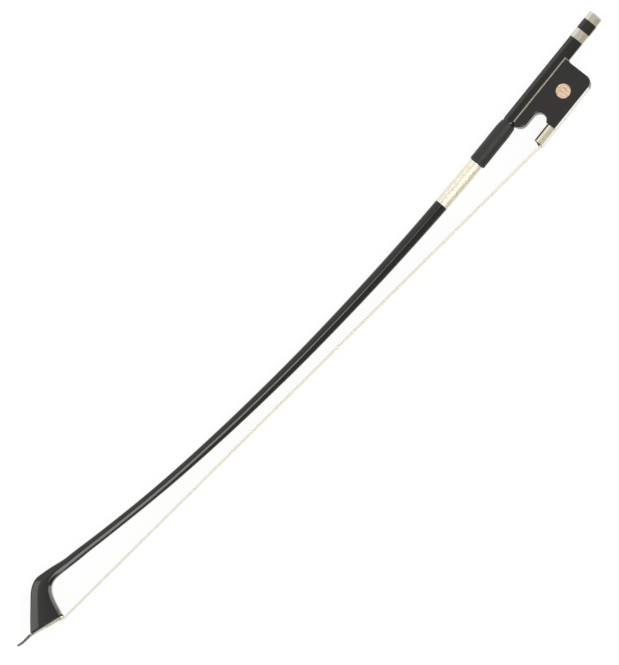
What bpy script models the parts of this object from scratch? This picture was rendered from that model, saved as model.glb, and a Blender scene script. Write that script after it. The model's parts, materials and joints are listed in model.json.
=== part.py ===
"""French-style double bass bow, lying on its side.

Units are metres in Blender and millimetres in this file's own values. +X runs along the hair towards
the head, +Y from the stick to the hair, +Z up out of the upper cheek. The origin is under the middle of
the bow, on the surface it lies on. The frog, the button and the screw are built in the handle's frame:
x along the handle from the button's end, y towards the hair, z up, zero on the handle's axis.
"""

import math

import bmesh
import bpy
from mathutils import Matrix, Vector
from mathutils.kdtree import KDTree

MM = 0.001
GAP = 0.3
PAST = 2.0

# Colours
BLACK_LACQUER = (0.018, 0.018, 0.018)
EBONY = (0.014, 0.014, 0.014)
FIBRE = (0.012, 0.012, 0.012)
LEATHER = (0.03, 0.032, 0.032)
SILVER = (0.75, 0.74, 0.7)
STEEL = (0.5, 0.5, 0.5)
BRASS = (0.72, 0.5, 0.2)
PEARL = (0.8, 0.76, 0.7)
ROSE_PEARL = (0.66, 0.48, 0.36)
MAPLE = (0.62, 0.42, 0.2)
WALNUT = (0.34, 0.22, 0.12)
HORSEHAIR = (0.72, 0.68, 0.56)

# Whole bow
MEDIAN_HEIGHT = 9.3
HAIR_LINE_Y = 25.0
HANDLE_TILT = math.radians(6.4)
BUTTON_END = (-355.6, -20.2)

# Stick
HANDLE_FLATS = 12.2
STICK_END = 26.9
NIPPLE_START = 20.9
NIPPLE_RADIUS = 4.4
OCTAGON_END = 112.8
ROUND_START = 116.3
HANDLE_ROUND_RADIUS = 6.0
WINDING_START = 158.6
WINDING_END = 203.9
WINDING_SEAT_RADIUS = 5.3
BEND_START = 150.0
CAMBER = [
    (-140.9, 22.7),
    (-74.4, 18.6),
    (-7.9, 16.2),
    (42.0, 15.6),
    (108.5, 16.7),
    (175.0, 20.1),
    (241.5, 26.7),
    (291.4, 33.6),
]
TAPER = [(-152.0, 5.85), (-107.7, 5.55), (-41.2, 5.2), (42.0, 4.75), (125.0, 4.25), (208.3, 3.8), (262.0, 3.95)]
SHAFT_STATIONS = 19
SHAFT_FIRST_X = -146.0
SHAFT_LAST_X = 256.0
SCREW_BORE_RADIUS = 1.9
SCREW_BORE_END = 99.0

# Head: inner edge, outer edge, half width over the cheeks, and how far the section has left the round
HEAD_STATIONS = [
    ((266.0, -0.5), (264.9, -8.7), 3.95, 0.0),
    ((277.8, -1.8), (277.5, -10.2), 4.1, 0.15),
    ((287.0, -2.9), (288.5, -12.7), 4.4, 0.4),
    ((294.0, -3.2), (298.6, -14.5), 4.7, 0.7),
    ((298.8, -1.9), (305.3, -15.0), 4.9, 0.9),
    ((302.0, 0.5), (311.2, -13.1), 5.1, 1.0),
    ((304.4, 3.9), (316.8, -9.2), 5.35, 1.0),
    ((306.5, 8.7), (324.5, -1.6), 5.6, 1.0),
    ((308.5, 15.3), (333.0, 7.0), 5.95, 1.0),
]
HEAD_SECTION = [
    (0.0, 0.0),
    (0.0, 0.42),
    (0.0, 0.78),
    (0.08, 1.0),
    (0.38, 0.99),
    (0.64, 0.84),
    (0.85, 0.58),
    (1.0, 0.3),
    (1.0, 0.0),
]
HEAD_CHAMFER = 2.4
HEAD_FACE_HALF = 6.3
HEAD_FACE_LENGTH = 30.5

# Head plate, liner and mortise, in the plate's frame: s along the plate from its rear edge, h out of it
PLATE_REAR = (310.9, 24.2)
PLATE_TILT = math.radians(14.3)
PLATE_THICKNESS = 0.9
LINER_THICKNESS = 1.0
BEAK = [
    (30.9, -0.9, 0.0, 1.9),
    (31.0, -2.2, 0.02, 1.9),
    (33.2, -1.8, 0.35, 1.85),
    (36.0, -0.9, 1.0, 1.75),
    (40.0, 0.1, 1.9, 1.55),
    (43.5, 0.5, 2.1, 1.35),
    (45.6, 0.6, 1.8, 1.1),
]
HEAD_MORTISE = (5.0, 17.0)
HEAD_MORTISE_HALF = 4.4
HEAD_MORTISE_DEPTH = 11.0
HEAD_WEDGE = (6.9, 16.7)
HEAD_WEDGE_DEPTH = (-6.2, -0.15)
PLATE_PINS = (("rear", 2.6), ("front", 26.5))
PIN_RADIUS = 0.55
PIN_DEPTH = 6.2

# Hair: the knots' paths give place, depth, thickness and half width
HAIR_THICKNESS = 0.9
HAIR_HALF_AT_FROG = 6.5
HAIR_HALF_AT_HEAD = 4.9
HAIR_FROG_X = -246.3
HAIR_HEAD_X = 311.2
HAIR_STRETCHES = 24
HEAD_KNOT = [
    (15.5, -8.8, 2.4, 2.6),
    (13.5, -8.7, 3.4, 3.4),
    (9.0, -8.6, 3.4, 3.4),
    (6.9, -7.6, 2.0, 3.6),
    (6.0, -5.6, HAIR_THICKNESS, 3.8),
    (5.85, -1.0, HAIR_THICKNESS, 3.9),
    (5.5, 0.35, HAIR_THICKNESS, 3.95),
    (4.3, 0.8, HAIR_THICKNESS, 4.1),
    (0.8, 0.8, HAIR_THICKNESS, HAIR_HALF_AT_HEAD),
]
FROG_KNOT = [
    (71.6, 23.6, 2.4, 2.6),
    (73.5, 23.6, 3.6, 3.6),
    (79.5, 23.7, 3.6, 3.6),
    (82.2, 24.5, 2.0, 3.8),
    (83.2, 26.2, HAIR_THICKNESS, 4.0),
    (83.3, 28.0, HAIR_THICKNESS, 4.1),
    (85.2, 29.85, HAIR_THICKNESS, 4.2),
    (96.0, 29.85, HAIR_THICKNESS, 5.4),
    (104.0, 30.75, HAIR_THICKNESS, 6.1),
    (112.6, 32.45, HAIR_THICKNESS, HAIR_HALF_AT_FROG),
]

# Winding of flat silver lapping
WINDING_LOOPS = 24
LOOP_POINTS = 24
LAPPING_WIDTH = 1.25
LAPPING_THICKNESS = 0.5
LAPPING_RADIUS = 5.9

# Thumb grip
GRIP_START = 116.65
GRIP_END = 158.2
GRIP_SHOULDER = 124.0
GRIP_RADIUS = 7.45
GRIP_LIP_RADIUS = 6.75

# Frog
FROG_HEEL = 44.9
FROG_TOP = 4.05
FROG_BOTTOM = 33.5
FROG_FRONT = 96.0
HEEL_RADIUS = 6.4
THROAT_CENTRE = (98.1, 18.65)
THROAT_RADIUS = 6.05
NOSE_RADIUS = 7.6
NOSE_FRONT = 114.9
FROG_HALF_TOP = 6.6
FROG_HALF_BOTTOM = 9.0
EDGE_BEVEL = 0.45
THROAT_BEVEL = 1.5
TONGUE_END = 112.9
TONGUE_TOP = 29.0
HAIR_POCKET = (70.5, 84.5)
HAIR_POCKET_HALF = 4.7
HAIR_POCKET_FLOOR = 21.5
HAIR_TROUGH_FLOOR = 28.3
HAIR_TROUGH_HALF = 6.0
FROG_WEDGE = (70.8, 82.1)
FROG_WEDGE_DEPTH = (26.4, 30.4)
EYE_CENTRE = (67.0, 19.3)
EYE_RADIUS = 6.1
EYE_DEPTH = 1.5

# Slide, in the frog's hair side
SLIDE_START = 51.0
SLIDE_FLOOR = 30.6
SLIDE_HALF_FLOOR = 7.6
SLIDE_HALF_MOUTH = 6.7
PEARL_THICKNESS = 0.7

# Underslide
UNDERSLIDE = (43.8, 112.5)
UNDERSLIDE_THICKNESS = 0.9
UNDERSLIDE_SCREWS = (("heel", 50.0), ("nose", 105.0))
SMALL_SCREW_HEAD_RADIUS = 1.25
SMALL_SCREW_SHANK_RADIUS = 0.75
SMALL_SCREW_TIP_RADIUS = 0.55
SMALL_SCREW_LENGTH = 3.6

# Ferrule
FERRULE = (96.3, 113.5)
FERRULE_FLAT = 33.95
FERRULE_HALF = 9.3
FERRULE_WALL = 0.6
FERRULE_SPRING = 30.5
FERRULE_RISE = 5.5
FERRULE_CORNER = 0.8
SPREAD_WEDGE = [
    (104.6, 29.3),
    (113.2, 29.3),
    (114.6, 29.5),
    (114.9, 30.0),
    (114.9, 31.2),
    (112.4, 31.45),
    (104.6, 30.05),
]
SPREAD_WEDGE_HALF = 7.6

# Screw, eyelet and button: the mortise leaves the eyelet its travel
PITCH = 0.9
TURNS_TO_TIGHTEN = 5.0
TURNS_TO_LOOSEN = 1.5
SCREW_RADIUS = 1.6
SCREW_SPAN = (4.5, 97.0)
EYELET_X = 80.0
EYELET_HALF_LENGTH = 4.0
EYELET_HALF_WIDTH = 3.1
EYELET_STEM_RADIUS = 2.2
EYELET_STEM_END = 14.5
EYELET_MORTISE = (
    EYELET_X - EYELET_HALF_LENGTH - TURNS_TO_TIGHTEN * PITCH - 2.5 * GAP,
    EYELET_X + EYELET_HALF_LENGTH + TURNS_TO_LOOSEN * PITCH + 2.5 * GAP,
)
EYELET_MORTISE_HALF = EYELET_HALF_WIDTH + GAP
EYELET_MORTISE_FLOOR = -3.8
BUTTON_FLATS = 12.6
CAP_END = 7.9
CAP_FLOOR = 2.2
CORE = (8.2, 17.6)
COLLAR = (17.9, 26.6)
SPIGOT_RADIUS = 4.4
SOCKET_RADIUS = 4.7

OCTAGON_CORNER = 1.0 / math.cos(math.pi / 8.0)


def clear_scene():
    for old in list(bpy.data.objects):
        bpy.data.objects.remove(old, do_unlink=True)


def new_collection(name):
    group = bpy.data.collections.new(name)
    bpy.context.scene.collection.children.link(group)
    return group


def new_empty(name, parent, location, rotation):
    empty = bpy.data.objects.new(name, None)
    empty.parent = parent
    empty.location = Vector(location) * MM
    empty.rotation_euler = rotation
    PARTS.objects.link(empty)
    return empty


def new_material(name, colour, roughness, metallic=0.0):
    material = bpy.data.materials.new(name)
    material.use_nodes = True
    shader = material.node_tree.nodes["Principled BSDF"]
    shader.inputs["Base Color"].default_value = (*colour, 1.0)
    shader.inputs["Roughness"].default_value = roughness
    shader.inputs["Metallic"].default_value = metallic
    return material


def add_object(name, data, parent, location=(0.0, 0.0, 0.0), rotation=(0.0, 0.0, 0.0)):
    thing = bpy.data.objects.new(name, data)
    thing.parent = parent
    thing.location = Vector(location) * MM
    thing.rotation_euler = rotation
    PARTS.objects.link(thing)
    return thing


def smooth(thing, angle=35.0):
    thing.data.shade_smooth()
    thing.data.set_sharp_from_angle(angle=math.radians(angle))


def paint(thing, colour, roughness, metallic=0.0):
    thing.data.materials.append(new_material(thing.name, colour, roughness, metallic))


def as_cutter(thing):
    PARTS.objects.unlink(thing)
    CUTTERS.objects.link(thing)
    thing.hide_render = True
    thing.display_type = "WIRE"
    return thing


def boolean(target, tool, operation="DIFFERENCE"):
    change = target.modifiers.new(f"{operation.lower()}_{tool.name}", "BOOLEAN")
    change.operation = operation
    change.object = tool
    change.solver = "EXACT"
    if operation == "UNION":
        as_cutter(tool)


def as_mesh(curve_object):
    """Turns a curve object into a mesh object of the same name and place, with its caps welded."""
    bpy.context.view_layer.update()
    seen = curve_object.evaluated_get(bpy.context.evaluated_depsgraph_get())
    mesh = bpy.data.meshes.new_from_object(seen)
    shape = bmesh.new()
    shape.from_mesh(mesh)
    bmesh.ops.remove_doubles(shape, verts=shape.verts, dist=0.00001)
    bmesh.ops.recalc_face_normals(shape, faces=shape.faces)
    shape.to_mesh(mesh)
    shape.free()
    name, parent = curve_object.name, curve_object.parent
    location, rotation = curve_object.location.copy(), curve_object.rotation_euler.copy()
    bpy.data.objects.remove(curve_object, do_unlink=True)
    return add_object(name, mesh, parent, location / MM, rotation)


def arc(centre, radius, start, end, steps, squash=1.0):
    """Points of an arc from one angle to another, in degrees; squash scales it along the first axis."""
    points = []
    for step in range(steps + 1):
        angle = math.radians(start + (end - start) * step / steps)
        points.append((centre[0] + radius * squash * math.cos(angle), centre[1] + radius * math.sin(angle)))
    return points


def flat_shape(name, loops, half, parent, location=(0.0, 0.0, 0.0)):
    """A flat outline with any holes in it, thickened by half to each side of its plane."""
    curve = bpy.data.curves.new(name, "CURVE")
    curve.dimensions = "2D"
    curve.fill_mode = "BOTH"
    curve.extrude = half * MM
    for loop in loops:
        spline = curve.splines.new("POLY")
        spline.points.add(len(loop) - 1)
        for point, (u, v) in zip(spline.points, loop):
            point.co = (u * MM, v * MM, 0.0, 1.0)
        spline.use_cyclic_u = True
    return as_mesh(add_object(name, curve, parent, location))


def section_shape(name, loops, start, end):
    """A section drawn in the handle's y and z, drawn out along the handle from start to end."""
    return flat_shape(name, loops, (end - start) / 2.0, SECTIONS, (0.0, 0.0, (start + end) / 2.0))


def rod(name, radius, start, end, sides, parent, axis="X", centre=(0.0, 0.0), tip_radius=None, roll=0.0):
    """A round or many-sided rod along the parent's x, y or z axis, centred on the other two."""
    mesh = bpy.data.meshes.new(name)
    shape = bmesh.new()
    bmesh.ops.create_cone(
        shape,
        cap_ends=True,
        segments=sides,
        radius1=radius * MM,
        radius2=(radius if tip_radius is None else tip_radius) * MM,
        depth=(end - start) * MM,
        matrix=Matrix.Rotation(roll, 4, "Z"),
    )
    shape.to_mesh(mesh)
    shape.free()
    middle = (start + end) / 2.0
    if axis == "X":
        return add_object(name, mesh, parent, (middle, *centre), (0.0, math.pi / 2.0, 0.0))
    if axis == "Y":
        return add_object(name, mesh, parent, (centre[0], middle, centre[1]), (-math.pi / 2.0, 0.0, 0.0))
    return add_object(name, mesh, parent, (*centre, middle))


def octagon(name, flats, start, end):
    """An eight-sided prism along the handle, with flats facing the cheeks and the hair."""
    return rod(name, flats / 2.0 * OCTAGON_CORNER, start, end, 8, HANDLE, roll=math.pi / 8.0)


def block(name, low, high, parent):
    """A box between two corners of the parent's frame."""
    mesh = bpy.data.meshes.new(name)
    shape = bmesh.new()
    bmesh.ops.create_cube(shape, size=1.0)
    for vertex in shape.verts:
        vertex.co = Vector(low[i] + (high[i] - low[i]) * (vertex.co[i] + 0.5) for i in range(3)) * MM
    shape.to_mesh(mesh)
    shape.free()
    return add_object(name, mesh, parent)


def turned(name, profile, sides, parent):
    """A profile of radius and place along the handle, closed on itself and turned round the handle's axis."""
    mesh = bpy.data.meshes.new(name)
    count = len(profile)
    points = [(radius * MM, 0.0, place * MM) for radius, place in profile]
    mesh.from_pydata(points, [(k, (k + 1) % count) for k in range(count)], [])
    thing = add_object(name, mesh, parent, rotation=(0.0, math.pi / 2.0, 0.0))
    turn = thing.modifiers.new("turn", "SCREW")
    turn.axis = "Z"
    turn.steps = sides
    turn.render_steps = sides
    turn.use_merge_vertices = True
    turn.merge_threshold = 0.0001
    return thing


def loft(name, rings, parent):
    """A closed skin through rings of equal counts, with flat ends."""
    mesh = bpy.data.meshes.new(name)
    shape = bmesh.new()
    rows = [[shape.verts.new(Vector(point) * MM) for point in ring] for ring in rings]
    for near, far in zip(rows, rows[1:]):
        for k in range(len(near)):
            shape.faces.new((near[k - 1], near[k], far[k], far[k - 1]))
    shape.faces.new(rows[0])
    shape.faces.new(rows[-1])
    bmesh.ops.recalc_face_normals(shape, faces=shape.faces)
    shape.to_mesh(mesh)
    shape.free()
    return add_object(name, mesh, parent)


def soften(thing, width, segments=1, angle=40.0):
    edge = thing.modifiers.new("edges", "BEVEL")
    edge.width = width * MM
    edge.segments = segments
    edge.limit_method = "ANGLE"
    edge.angle_limit = math.radians(angle)
    edge.use_clamp_overlap = True


def strap(name, path, parent):
    """A flat strap along a path in the parent's x and y; each point has its thickness and half width."""
    rings = []
    for k, (x, y, thickness, half) in enumerate(path):
        before = Vector(path[max(k - 1, 0)][:2])
        after = Vector(path[min(k + 1, len(path) - 1)][:2])
        along = (after - before).normalized()
        across = Vector((-along.y, along.x)) * thickness / 2.0
        rings.append([
            (x - across.x, y - across.y, -half),
            (x - across.x, y - across.y, half),
            (x + across.x, y + across.y, half),
            (x + across.x, y + across.y, -half),
        ])
    return loft(name, rings, parent)


def between(stations, x):
    """Smooth value at x through (x, value) stations, by a cubic Hermite curve."""
    last = len(stations) - 1
    k = 0
    while k < last - 1 and x > stations[k + 1][0]:
        k += 1
    x0, y0 = stations[k]
    x1, y1 = stations[k + 1]

    def slope(i):
        low, high = max(i - 1, 0), min(i + 1, last)
        return (stations[high][1] - stations[low][1]) / (stations[high][0] - stations[low][0])

    span = x1 - x0
    t = (x - x0) / span
    return (
        y0 * (2 * t**3 - 3 * t**2 + 1)
        + slope(k) * span * (t**3 - 2 * t**2 + t)
        + y1 * (3 * t**2 - 2 * t**3)
        + slope(k + 1) * span * (t**3 - t**2)
    )


def handle_x(station):
    """The bow's X of a station on the handle."""
    return BUTTON_END[0] + station * math.cos(HANDLE_TILT)


def centre_y(x):
    """The bow's Y of the stick's centre line at the bow's X."""
    straight = BUTTON_END[1] + (x - BUTTON_END[0]) * math.tan(HANDLE_TILT)
    bend = handle_x(BEND_START)
    if x <= bend:
        return straight
    slope = math.tan(HANDLE_TILT)
    stations = [(place, straight + (place - x) * slope) for place in (bend - 40.0, bend - 20.0, bend)]
    stations += [(place, HAIR_LINE_Y - drop) for place, drop in CAMBER]
    return between(stations, x)


def stick_frame(x):
    """Centre and sideways direction of the stick at the bow's X."""
    step = 0.5
    along = Vector((2.0 * step, centre_y(x + step) - centre_y(x - step), 0.0)).normalized()
    return Vector((x, centre_y(x), 0.0)), Vector((-along.y, along.x, 0.0))


def stick_ring(x, radius, corner=1.0):
    """Sixteen points round the stick; corner draws every second one out, to make an octagon."""
    centre, side = stick_frame(x)
    up = Vector((0.0, 0.0, 1.0))
    ring = []
    for k in range(16):
        angle = math.radians(22.5 * k)
        reach = radius * (corner if k % 2 else 1.0)
        ring.append(centre + side * reach * math.cos(angle) + up * reach * math.sin(angle))
    return ring


def head_point(k, inner, outer, half, morph):
    """Point k of a head section, between the round stick's and the carved head's."""
    mirror = 1.0 if k <= 8 else -1.0
    k = min(k, 16 - k)
    angle = math.radians(22.5 * k)
    length = (Vector(outer) - Vector(inner)).length
    u, w = HEAD_SECTION[k]
    if k == 3:
        u = HEAD_CHAMFER / length
    u = (1.0 - morph) * (0.5 - 0.5 * math.cos(angle)) + morph * u
    w = (1.0 - morph) * math.sin(angle) + morph * w
    place = Vector(inner).lerp(Vector(outer), u)
    return Vector((place.x, place.y, mirror * w * half))


def head_face_depth():
    return PLATE_THICKNESS + LINER_THICKNESS + 2.0 * GAP


def plate_point(s, h):
    """A point of the plate's frame in the bow's X and Y."""
    return (
        PLATE_REAR[0] + s * math.cos(PLATE_TILT) + h * math.sin(PLATE_TILT),
        PLATE_REAR[1] - s * math.sin(PLATE_TILT) + h * math.cos(PLATE_TILT),
    )


def face_half_width(s):
    """Half width of the head's face, its liner and its plate, at s from the rear edge."""
    outline = [(0.0, 0.78), (HEAD_CHAMFER, 1.0)] + [(u * HEAD_FACE_LENGTH, w) for u, w in HEAD_SECTION[4:8]]
    for (s0, w0), (s1, w1) in zip(outline, outline[1:]):
        if s <= s1:
            return HEAD_FACE_HALF * (w0 + (w1 - w0) * (s - s0) / (s1 - s0))
    return HEAD_FACE_HALF * outline[-1][1]


def make_stick():
    rings = [stick_ring(handle_x(place), NIPPLE_RADIUS) for place in (NIPPLE_START, STICK_END)]
    half = HANDLE_FLATS / 2.0
    for place in (STICK_END, OCTAGON_END):
        rings.append(stick_ring(handle_x(place), half, OCTAGON_CORNER))
    for place, radius in (
        (ROUND_START, HANDLE_ROUND_RADIUS),
        (BEND_START, HANDLE_ROUND_RADIUS),
        (WINDING_START - GAP, HANDLE_ROUND_RADIUS),
        (WINDING_START - GAP, WINDING_SEAT_RADIUS),
        (170.0, WINDING_SEAT_RADIUS),
        (182.0, WINDING_SEAT_RADIUS),
        (193.0, WINDING_SEAT_RADIUS),
        (WINDING_END + GAP, WINDING_SEAT_RADIUS),
        (WINDING_END + GAP, between(TAPER, handle_x(WINDING_END))),
    ):
        rings.append(stick_ring(handle_x(place), radius))
    for k in range(SHAFT_STATIONS):
        x = SHAFT_FIRST_X + (SHAFT_LAST_X - SHAFT_FIRST_X) * k / (SHAFT_STATIONS - 1)
        rings.append(stick_ring(x, between(TAPER, x)))
    for inner, outer, half_width, morph in HEAD_STATIONS:
        rings.append([head_point(k, inner, outer, half_width, morph) for k in range(16)])
    rear = plate_point(0.0, -head_face_depth())
    front = plate_point(HEAD_FACE_LENGTH, -head_face_depth())
    rings.append([head_point(k, rear, front, HEAD_FACE_HALF, 1.0) for k in range(16)])

    stick = loft("stick", rings, MEDIAN)
    paint(stick, BLACK_LACQUER, 0.22)
    bore = rod("screw_bore", SCREW_BORE_RADIUS, NIPPLE_START - PAST, SCREW_BORE_END, 12, HANDLE)
    boolean(stick, as_cutter(bore))
    low = (EYELET_MORTISE[0], EYELET_MORTISE_FLOOR, -EYELET_MORTISE_HALF)
    high = (EYELET_MORTISE[1], HANDLE_FLATS, EYELET_MORTISE_HALF)
    boolean(stick, as_cutter(block("eyelet_mortise", low, high, HANDLE)))
    boolean(stick, head_mortise())


def head_mortise():
    """The pocket for the hair's end, cut through the plate and the liner into the head."""
    cutter = bpy.data.objects.get("head_mortise")
    if cutter is None:
        low = (HEAD_MORTISE[0], -HEAD_MORTISE_DEPTH, -HEAD_MORTISE_HALF)
        high = (HEAD_MORTISE[1], PAST, HEAD_MORTISE_HALF)
        cutter = as_cutter(block("head_mortise", low, high, PLATE))
    return cutter


def face_ring(s, low, high, half):
    return [(s, low, -half), (s, low, half), (s, high, half), (s, high, -half)]


def face_rings(stations, low, high):
    return [face_ring(s, low, high, face_half_width(s)) for s in stations]


def make_head_fittings():
    stations = [0.0, HEAD_CHAMFER] + [u * HEAD_FACE_LENGTH for u, _ in HEAD_SECTION[4:8]]
    liner_top = -PLATE_THICKNESS - GAP
    liner = loft("head_liner", face_rings(stations, liner_top - LINER_THICKNESS, liner_top), PLATE)
    paint(liner, FIBRE, 0.35)
    boolean(liner, head_mortise())

    rings = face_rings(stations, -PLATE_THICKNESS, 0.0)
    rings += [face_ring(s, low, high, half) for s, low, high, half in BEAK]
    plate = loft("head_plate", rings, PLATE)
    paint(plate, SILVER, 0.25, 1.0)
    boolean(plate, head_mortise())
    for end, s in PLATE_PINS:
        hole = rod(f"pin_hole_{end}", PIN_RADIUS + GAP, -PIN_DEPTH - GAP, PAST, 10, PLATE, "Y", (s, 0.0))
        as_cutter(hole)
        for pinned in (plate, liner, bpy.data.objects["stick"]):
            boolean(pinned, hole)
        pin = rod(f"plate_pin_{end}", PIN_RADIUS, -PIN_DEPTH, 0.0, 10, PLATE, "Y", (s, 0.0))
        paint(pin, SILVER, 0.3, 1.0)
        smooth(pin)

    half = HEAD_MORTISE_HALF - GAP
    low = (HEAD_WEDGE[0], HEAD_WEDGE_DEPTH[0], -half)
    high = (HEAD_WEDGE[1], HEAD_WEDGE_DEPTH[1], half)
    wedge = block("head_wedge", low, high, PLATE)
    soften(wedge, 0.2)
    paint(wedge, MAPLE, 0.6)


def make_hair():
    """The hank of hair: the ribbon, and the tied end in each mortise."""
    path = []
    for k in range(HAIR_STRETCHES + 1):
        share = k / HAIR_STRETCHES
        x = HAIR_FROG_X + (HAIR_HEAD_X - HAIR_FROG_X) * share
        half = HAIR_HALF_AT_FROG + (HAIR_HALF_AT_HEAD - HAIR_HALF_AT_FROG) * share
        path.append((x, HAIR_LINE_Y, HAIR_THICKNESS, half))
    ribbon = strap("hair_ribbon", path, MEDIAN)
    knot_head = strap("hair_knot_head", HEAD_KNOT, PLATE)
    knot_frog = strap("hair_knot_frog", FROG_KNOT, HANDLE)
    for hair in (ribbon, knot_head, knot_frog):
        paint(hair, HORSEHAIR, 0.55)


def make_winding():
    """Flat lapping wound along the bent stick, with straight ends."""
    first, last = handle_x(WINDING_START), handle_x(WINDING_END)
    margin = LAPPING_WIDTH / 2.0
    to_local = (MEDIAN.matrix_world.inverted() @ SECTIONS.matrix_world).inverted()
    count = WINDING_LOOPS * LOOP_POINTS
    points = []
    for k in range(count + 1):
        angle = 2.0 * math.pi * k / LOOP_POINTS
        x = first + margin + (last - first - 2.0 * margin) * k / count
        centre, side = stick_frame(x)
        place = centre + side * LAPPING_RADIUS * math.cos(angle)
        place.z = LAPPING_RADIUS * math.sin(angle)
        points.append(to_local @ (place * MM))
    points.insert(0, points[0] + (points[0] - points[1]).normalized() * LAPPING_WIDTH * MM)
    points.append(points[-1] + (points[-1] - points[-2]).normalized() * LAPPING_WIDTH * MM)

    profile = bpy.data.curves.new("lapping_section", "CURVE")
    profile.dimensions = "2D"
    edge = profile.splines.new("POLY")
    half, thick = LAPPING_WIDTH / 2.0, LAPPING_THICKNESS / 2.0
    flat = 0.6 * half
    corners = [(thick, flat), (0.0, half), (-thick, flat), (-thick, -flat), (0.0, -half), (thick, -flat)]
    edge.points.add(len(corners) - 1)
    for point, (u, v) in zip(edge.points, corners):
        point.co = (u * MM, v * MM, 0.0, 1.0)
    edge.use_cyclic_u = True
    guide = as_cutter(add_object("lapping_section", profile, SECTIONS))

    curve = bpy.data.curves.new("winding", "CURVE")
    curve.dimensions = "3D"
    curve.twist_mode = "Z_UP"
    curve.bevel_mode = "OBJECT"
    curve.bevel_object = guide
    curve.use_fill_caps = True
    spline = curve.splines.new("POLY")
    spline.points.add(len(points) - 1)
    for point, place in zip(spline.points, points):
        point.co = (*place, 1.0)
    winding = as_mesh(add_object("winding", curve, SECTIONS))
    paint(winding, SILVER, 0.25, 1.0)
    print(f"winding: {WINDING_LOOPS} loops, least gap to itself {winding_gap(points):.2f} mm")


def winding_gap(points):
    """Least distance between points over half a loop apart, less the lapping's width, in millimetres."""
    tree = KDTree(len(points))
    for k, place in enumerate(points):
        tree.insert(place, k)
    tree.balance()
    least = float("inf")
    for k, place in enumerate(points):
        for _, other, distance in tree.find_range(place, 3.0 * LAPPING_WIDTH * MM):
            if abs(other - k) > LOOP_POINTS / 2:
                least = min(least, distance)
    return least / MM - LAPPING_WIDTH


def make_grip():
    grip = turned("thumb_grip", [
        (HANDLE_ROUND_RADIUS + GAP, GRIP_END),
        (GRIP_RADIUS - 0.4, GRIP_END),
        (GRIP_RADIUS, GRIP_END - 0.5),
        (GRIP_RADIUS, GRIP_SHOULDER),
        (GRIP_RADIUS - 0.15, GRIP_SHOULDER - 1.6),
        (GRIP_LIP_RADIUS, GRIP_START + 0.3),
        (GRIP_LIP_RADIUS - 0.25, GRIP_START),
        (HANDLE_ROUND_RADIUS + GAP, GRIP_START),
    ], 24, HANDLE)
    paint(grip, LEATHER, 0.6)
    smooth(grip)


def frog_outline():
    cx, cy = THROAT_CENTRE
    outline = [(FROG_HEEL, FROG_TOP), (NOSE_FRONT, FROG_TOP)]
    outline += arc((NOSE_FRONT - NOSE_RADIUS, cy - THROAT_RADIUS - NOSE_RADIUS), NOSE_RADIUS, 15.0, 90.0, 6)
    outline += arc((cx, cy), THROAT_RADIUS, 270.0, 110.0, 12)
    outline += [(FROG_FRONT, FROG_BOTTOM)]
    outline += arc((FROG_HEEL + HEEL_RADIUS, FROG_BOTTOM - HEEL_RADIUS), HEEL_RADIUS, 90.0, 180.0, 6)
    return outline


def frog_half_width(y):
    share = (y - FROG_TOP) / (FROG_BOTTOM - FROG_TOP)
    return FROG_HALF_TOP + (FROG_HALF_BOTTOM - FROG_HALF_TOP) * share


def cheek_tilt():
    return math.atan2(FROG_HALF_BOTTOM - FROG_HALF_TOP, FROG_BOTTOM - FROG_TOP)


def bevel_weight(place):
    """Share of the throat's bevel that an edge of the cheek gets: full from the nose round the throat."""
    on_nose = place.x > THROAT_CENTRE[0] and place.y > FROG_TOP + 0.1
    in_throat = place.x > FROG_FRONT - 5.5 and abs(place.y - THROAT_CENTRE[1]) < THROAT_RADIUS - 0.05
    return 1.0 if on_nose or in_throat else EDGE_BEVEL / THROAT_BEVEL


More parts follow.
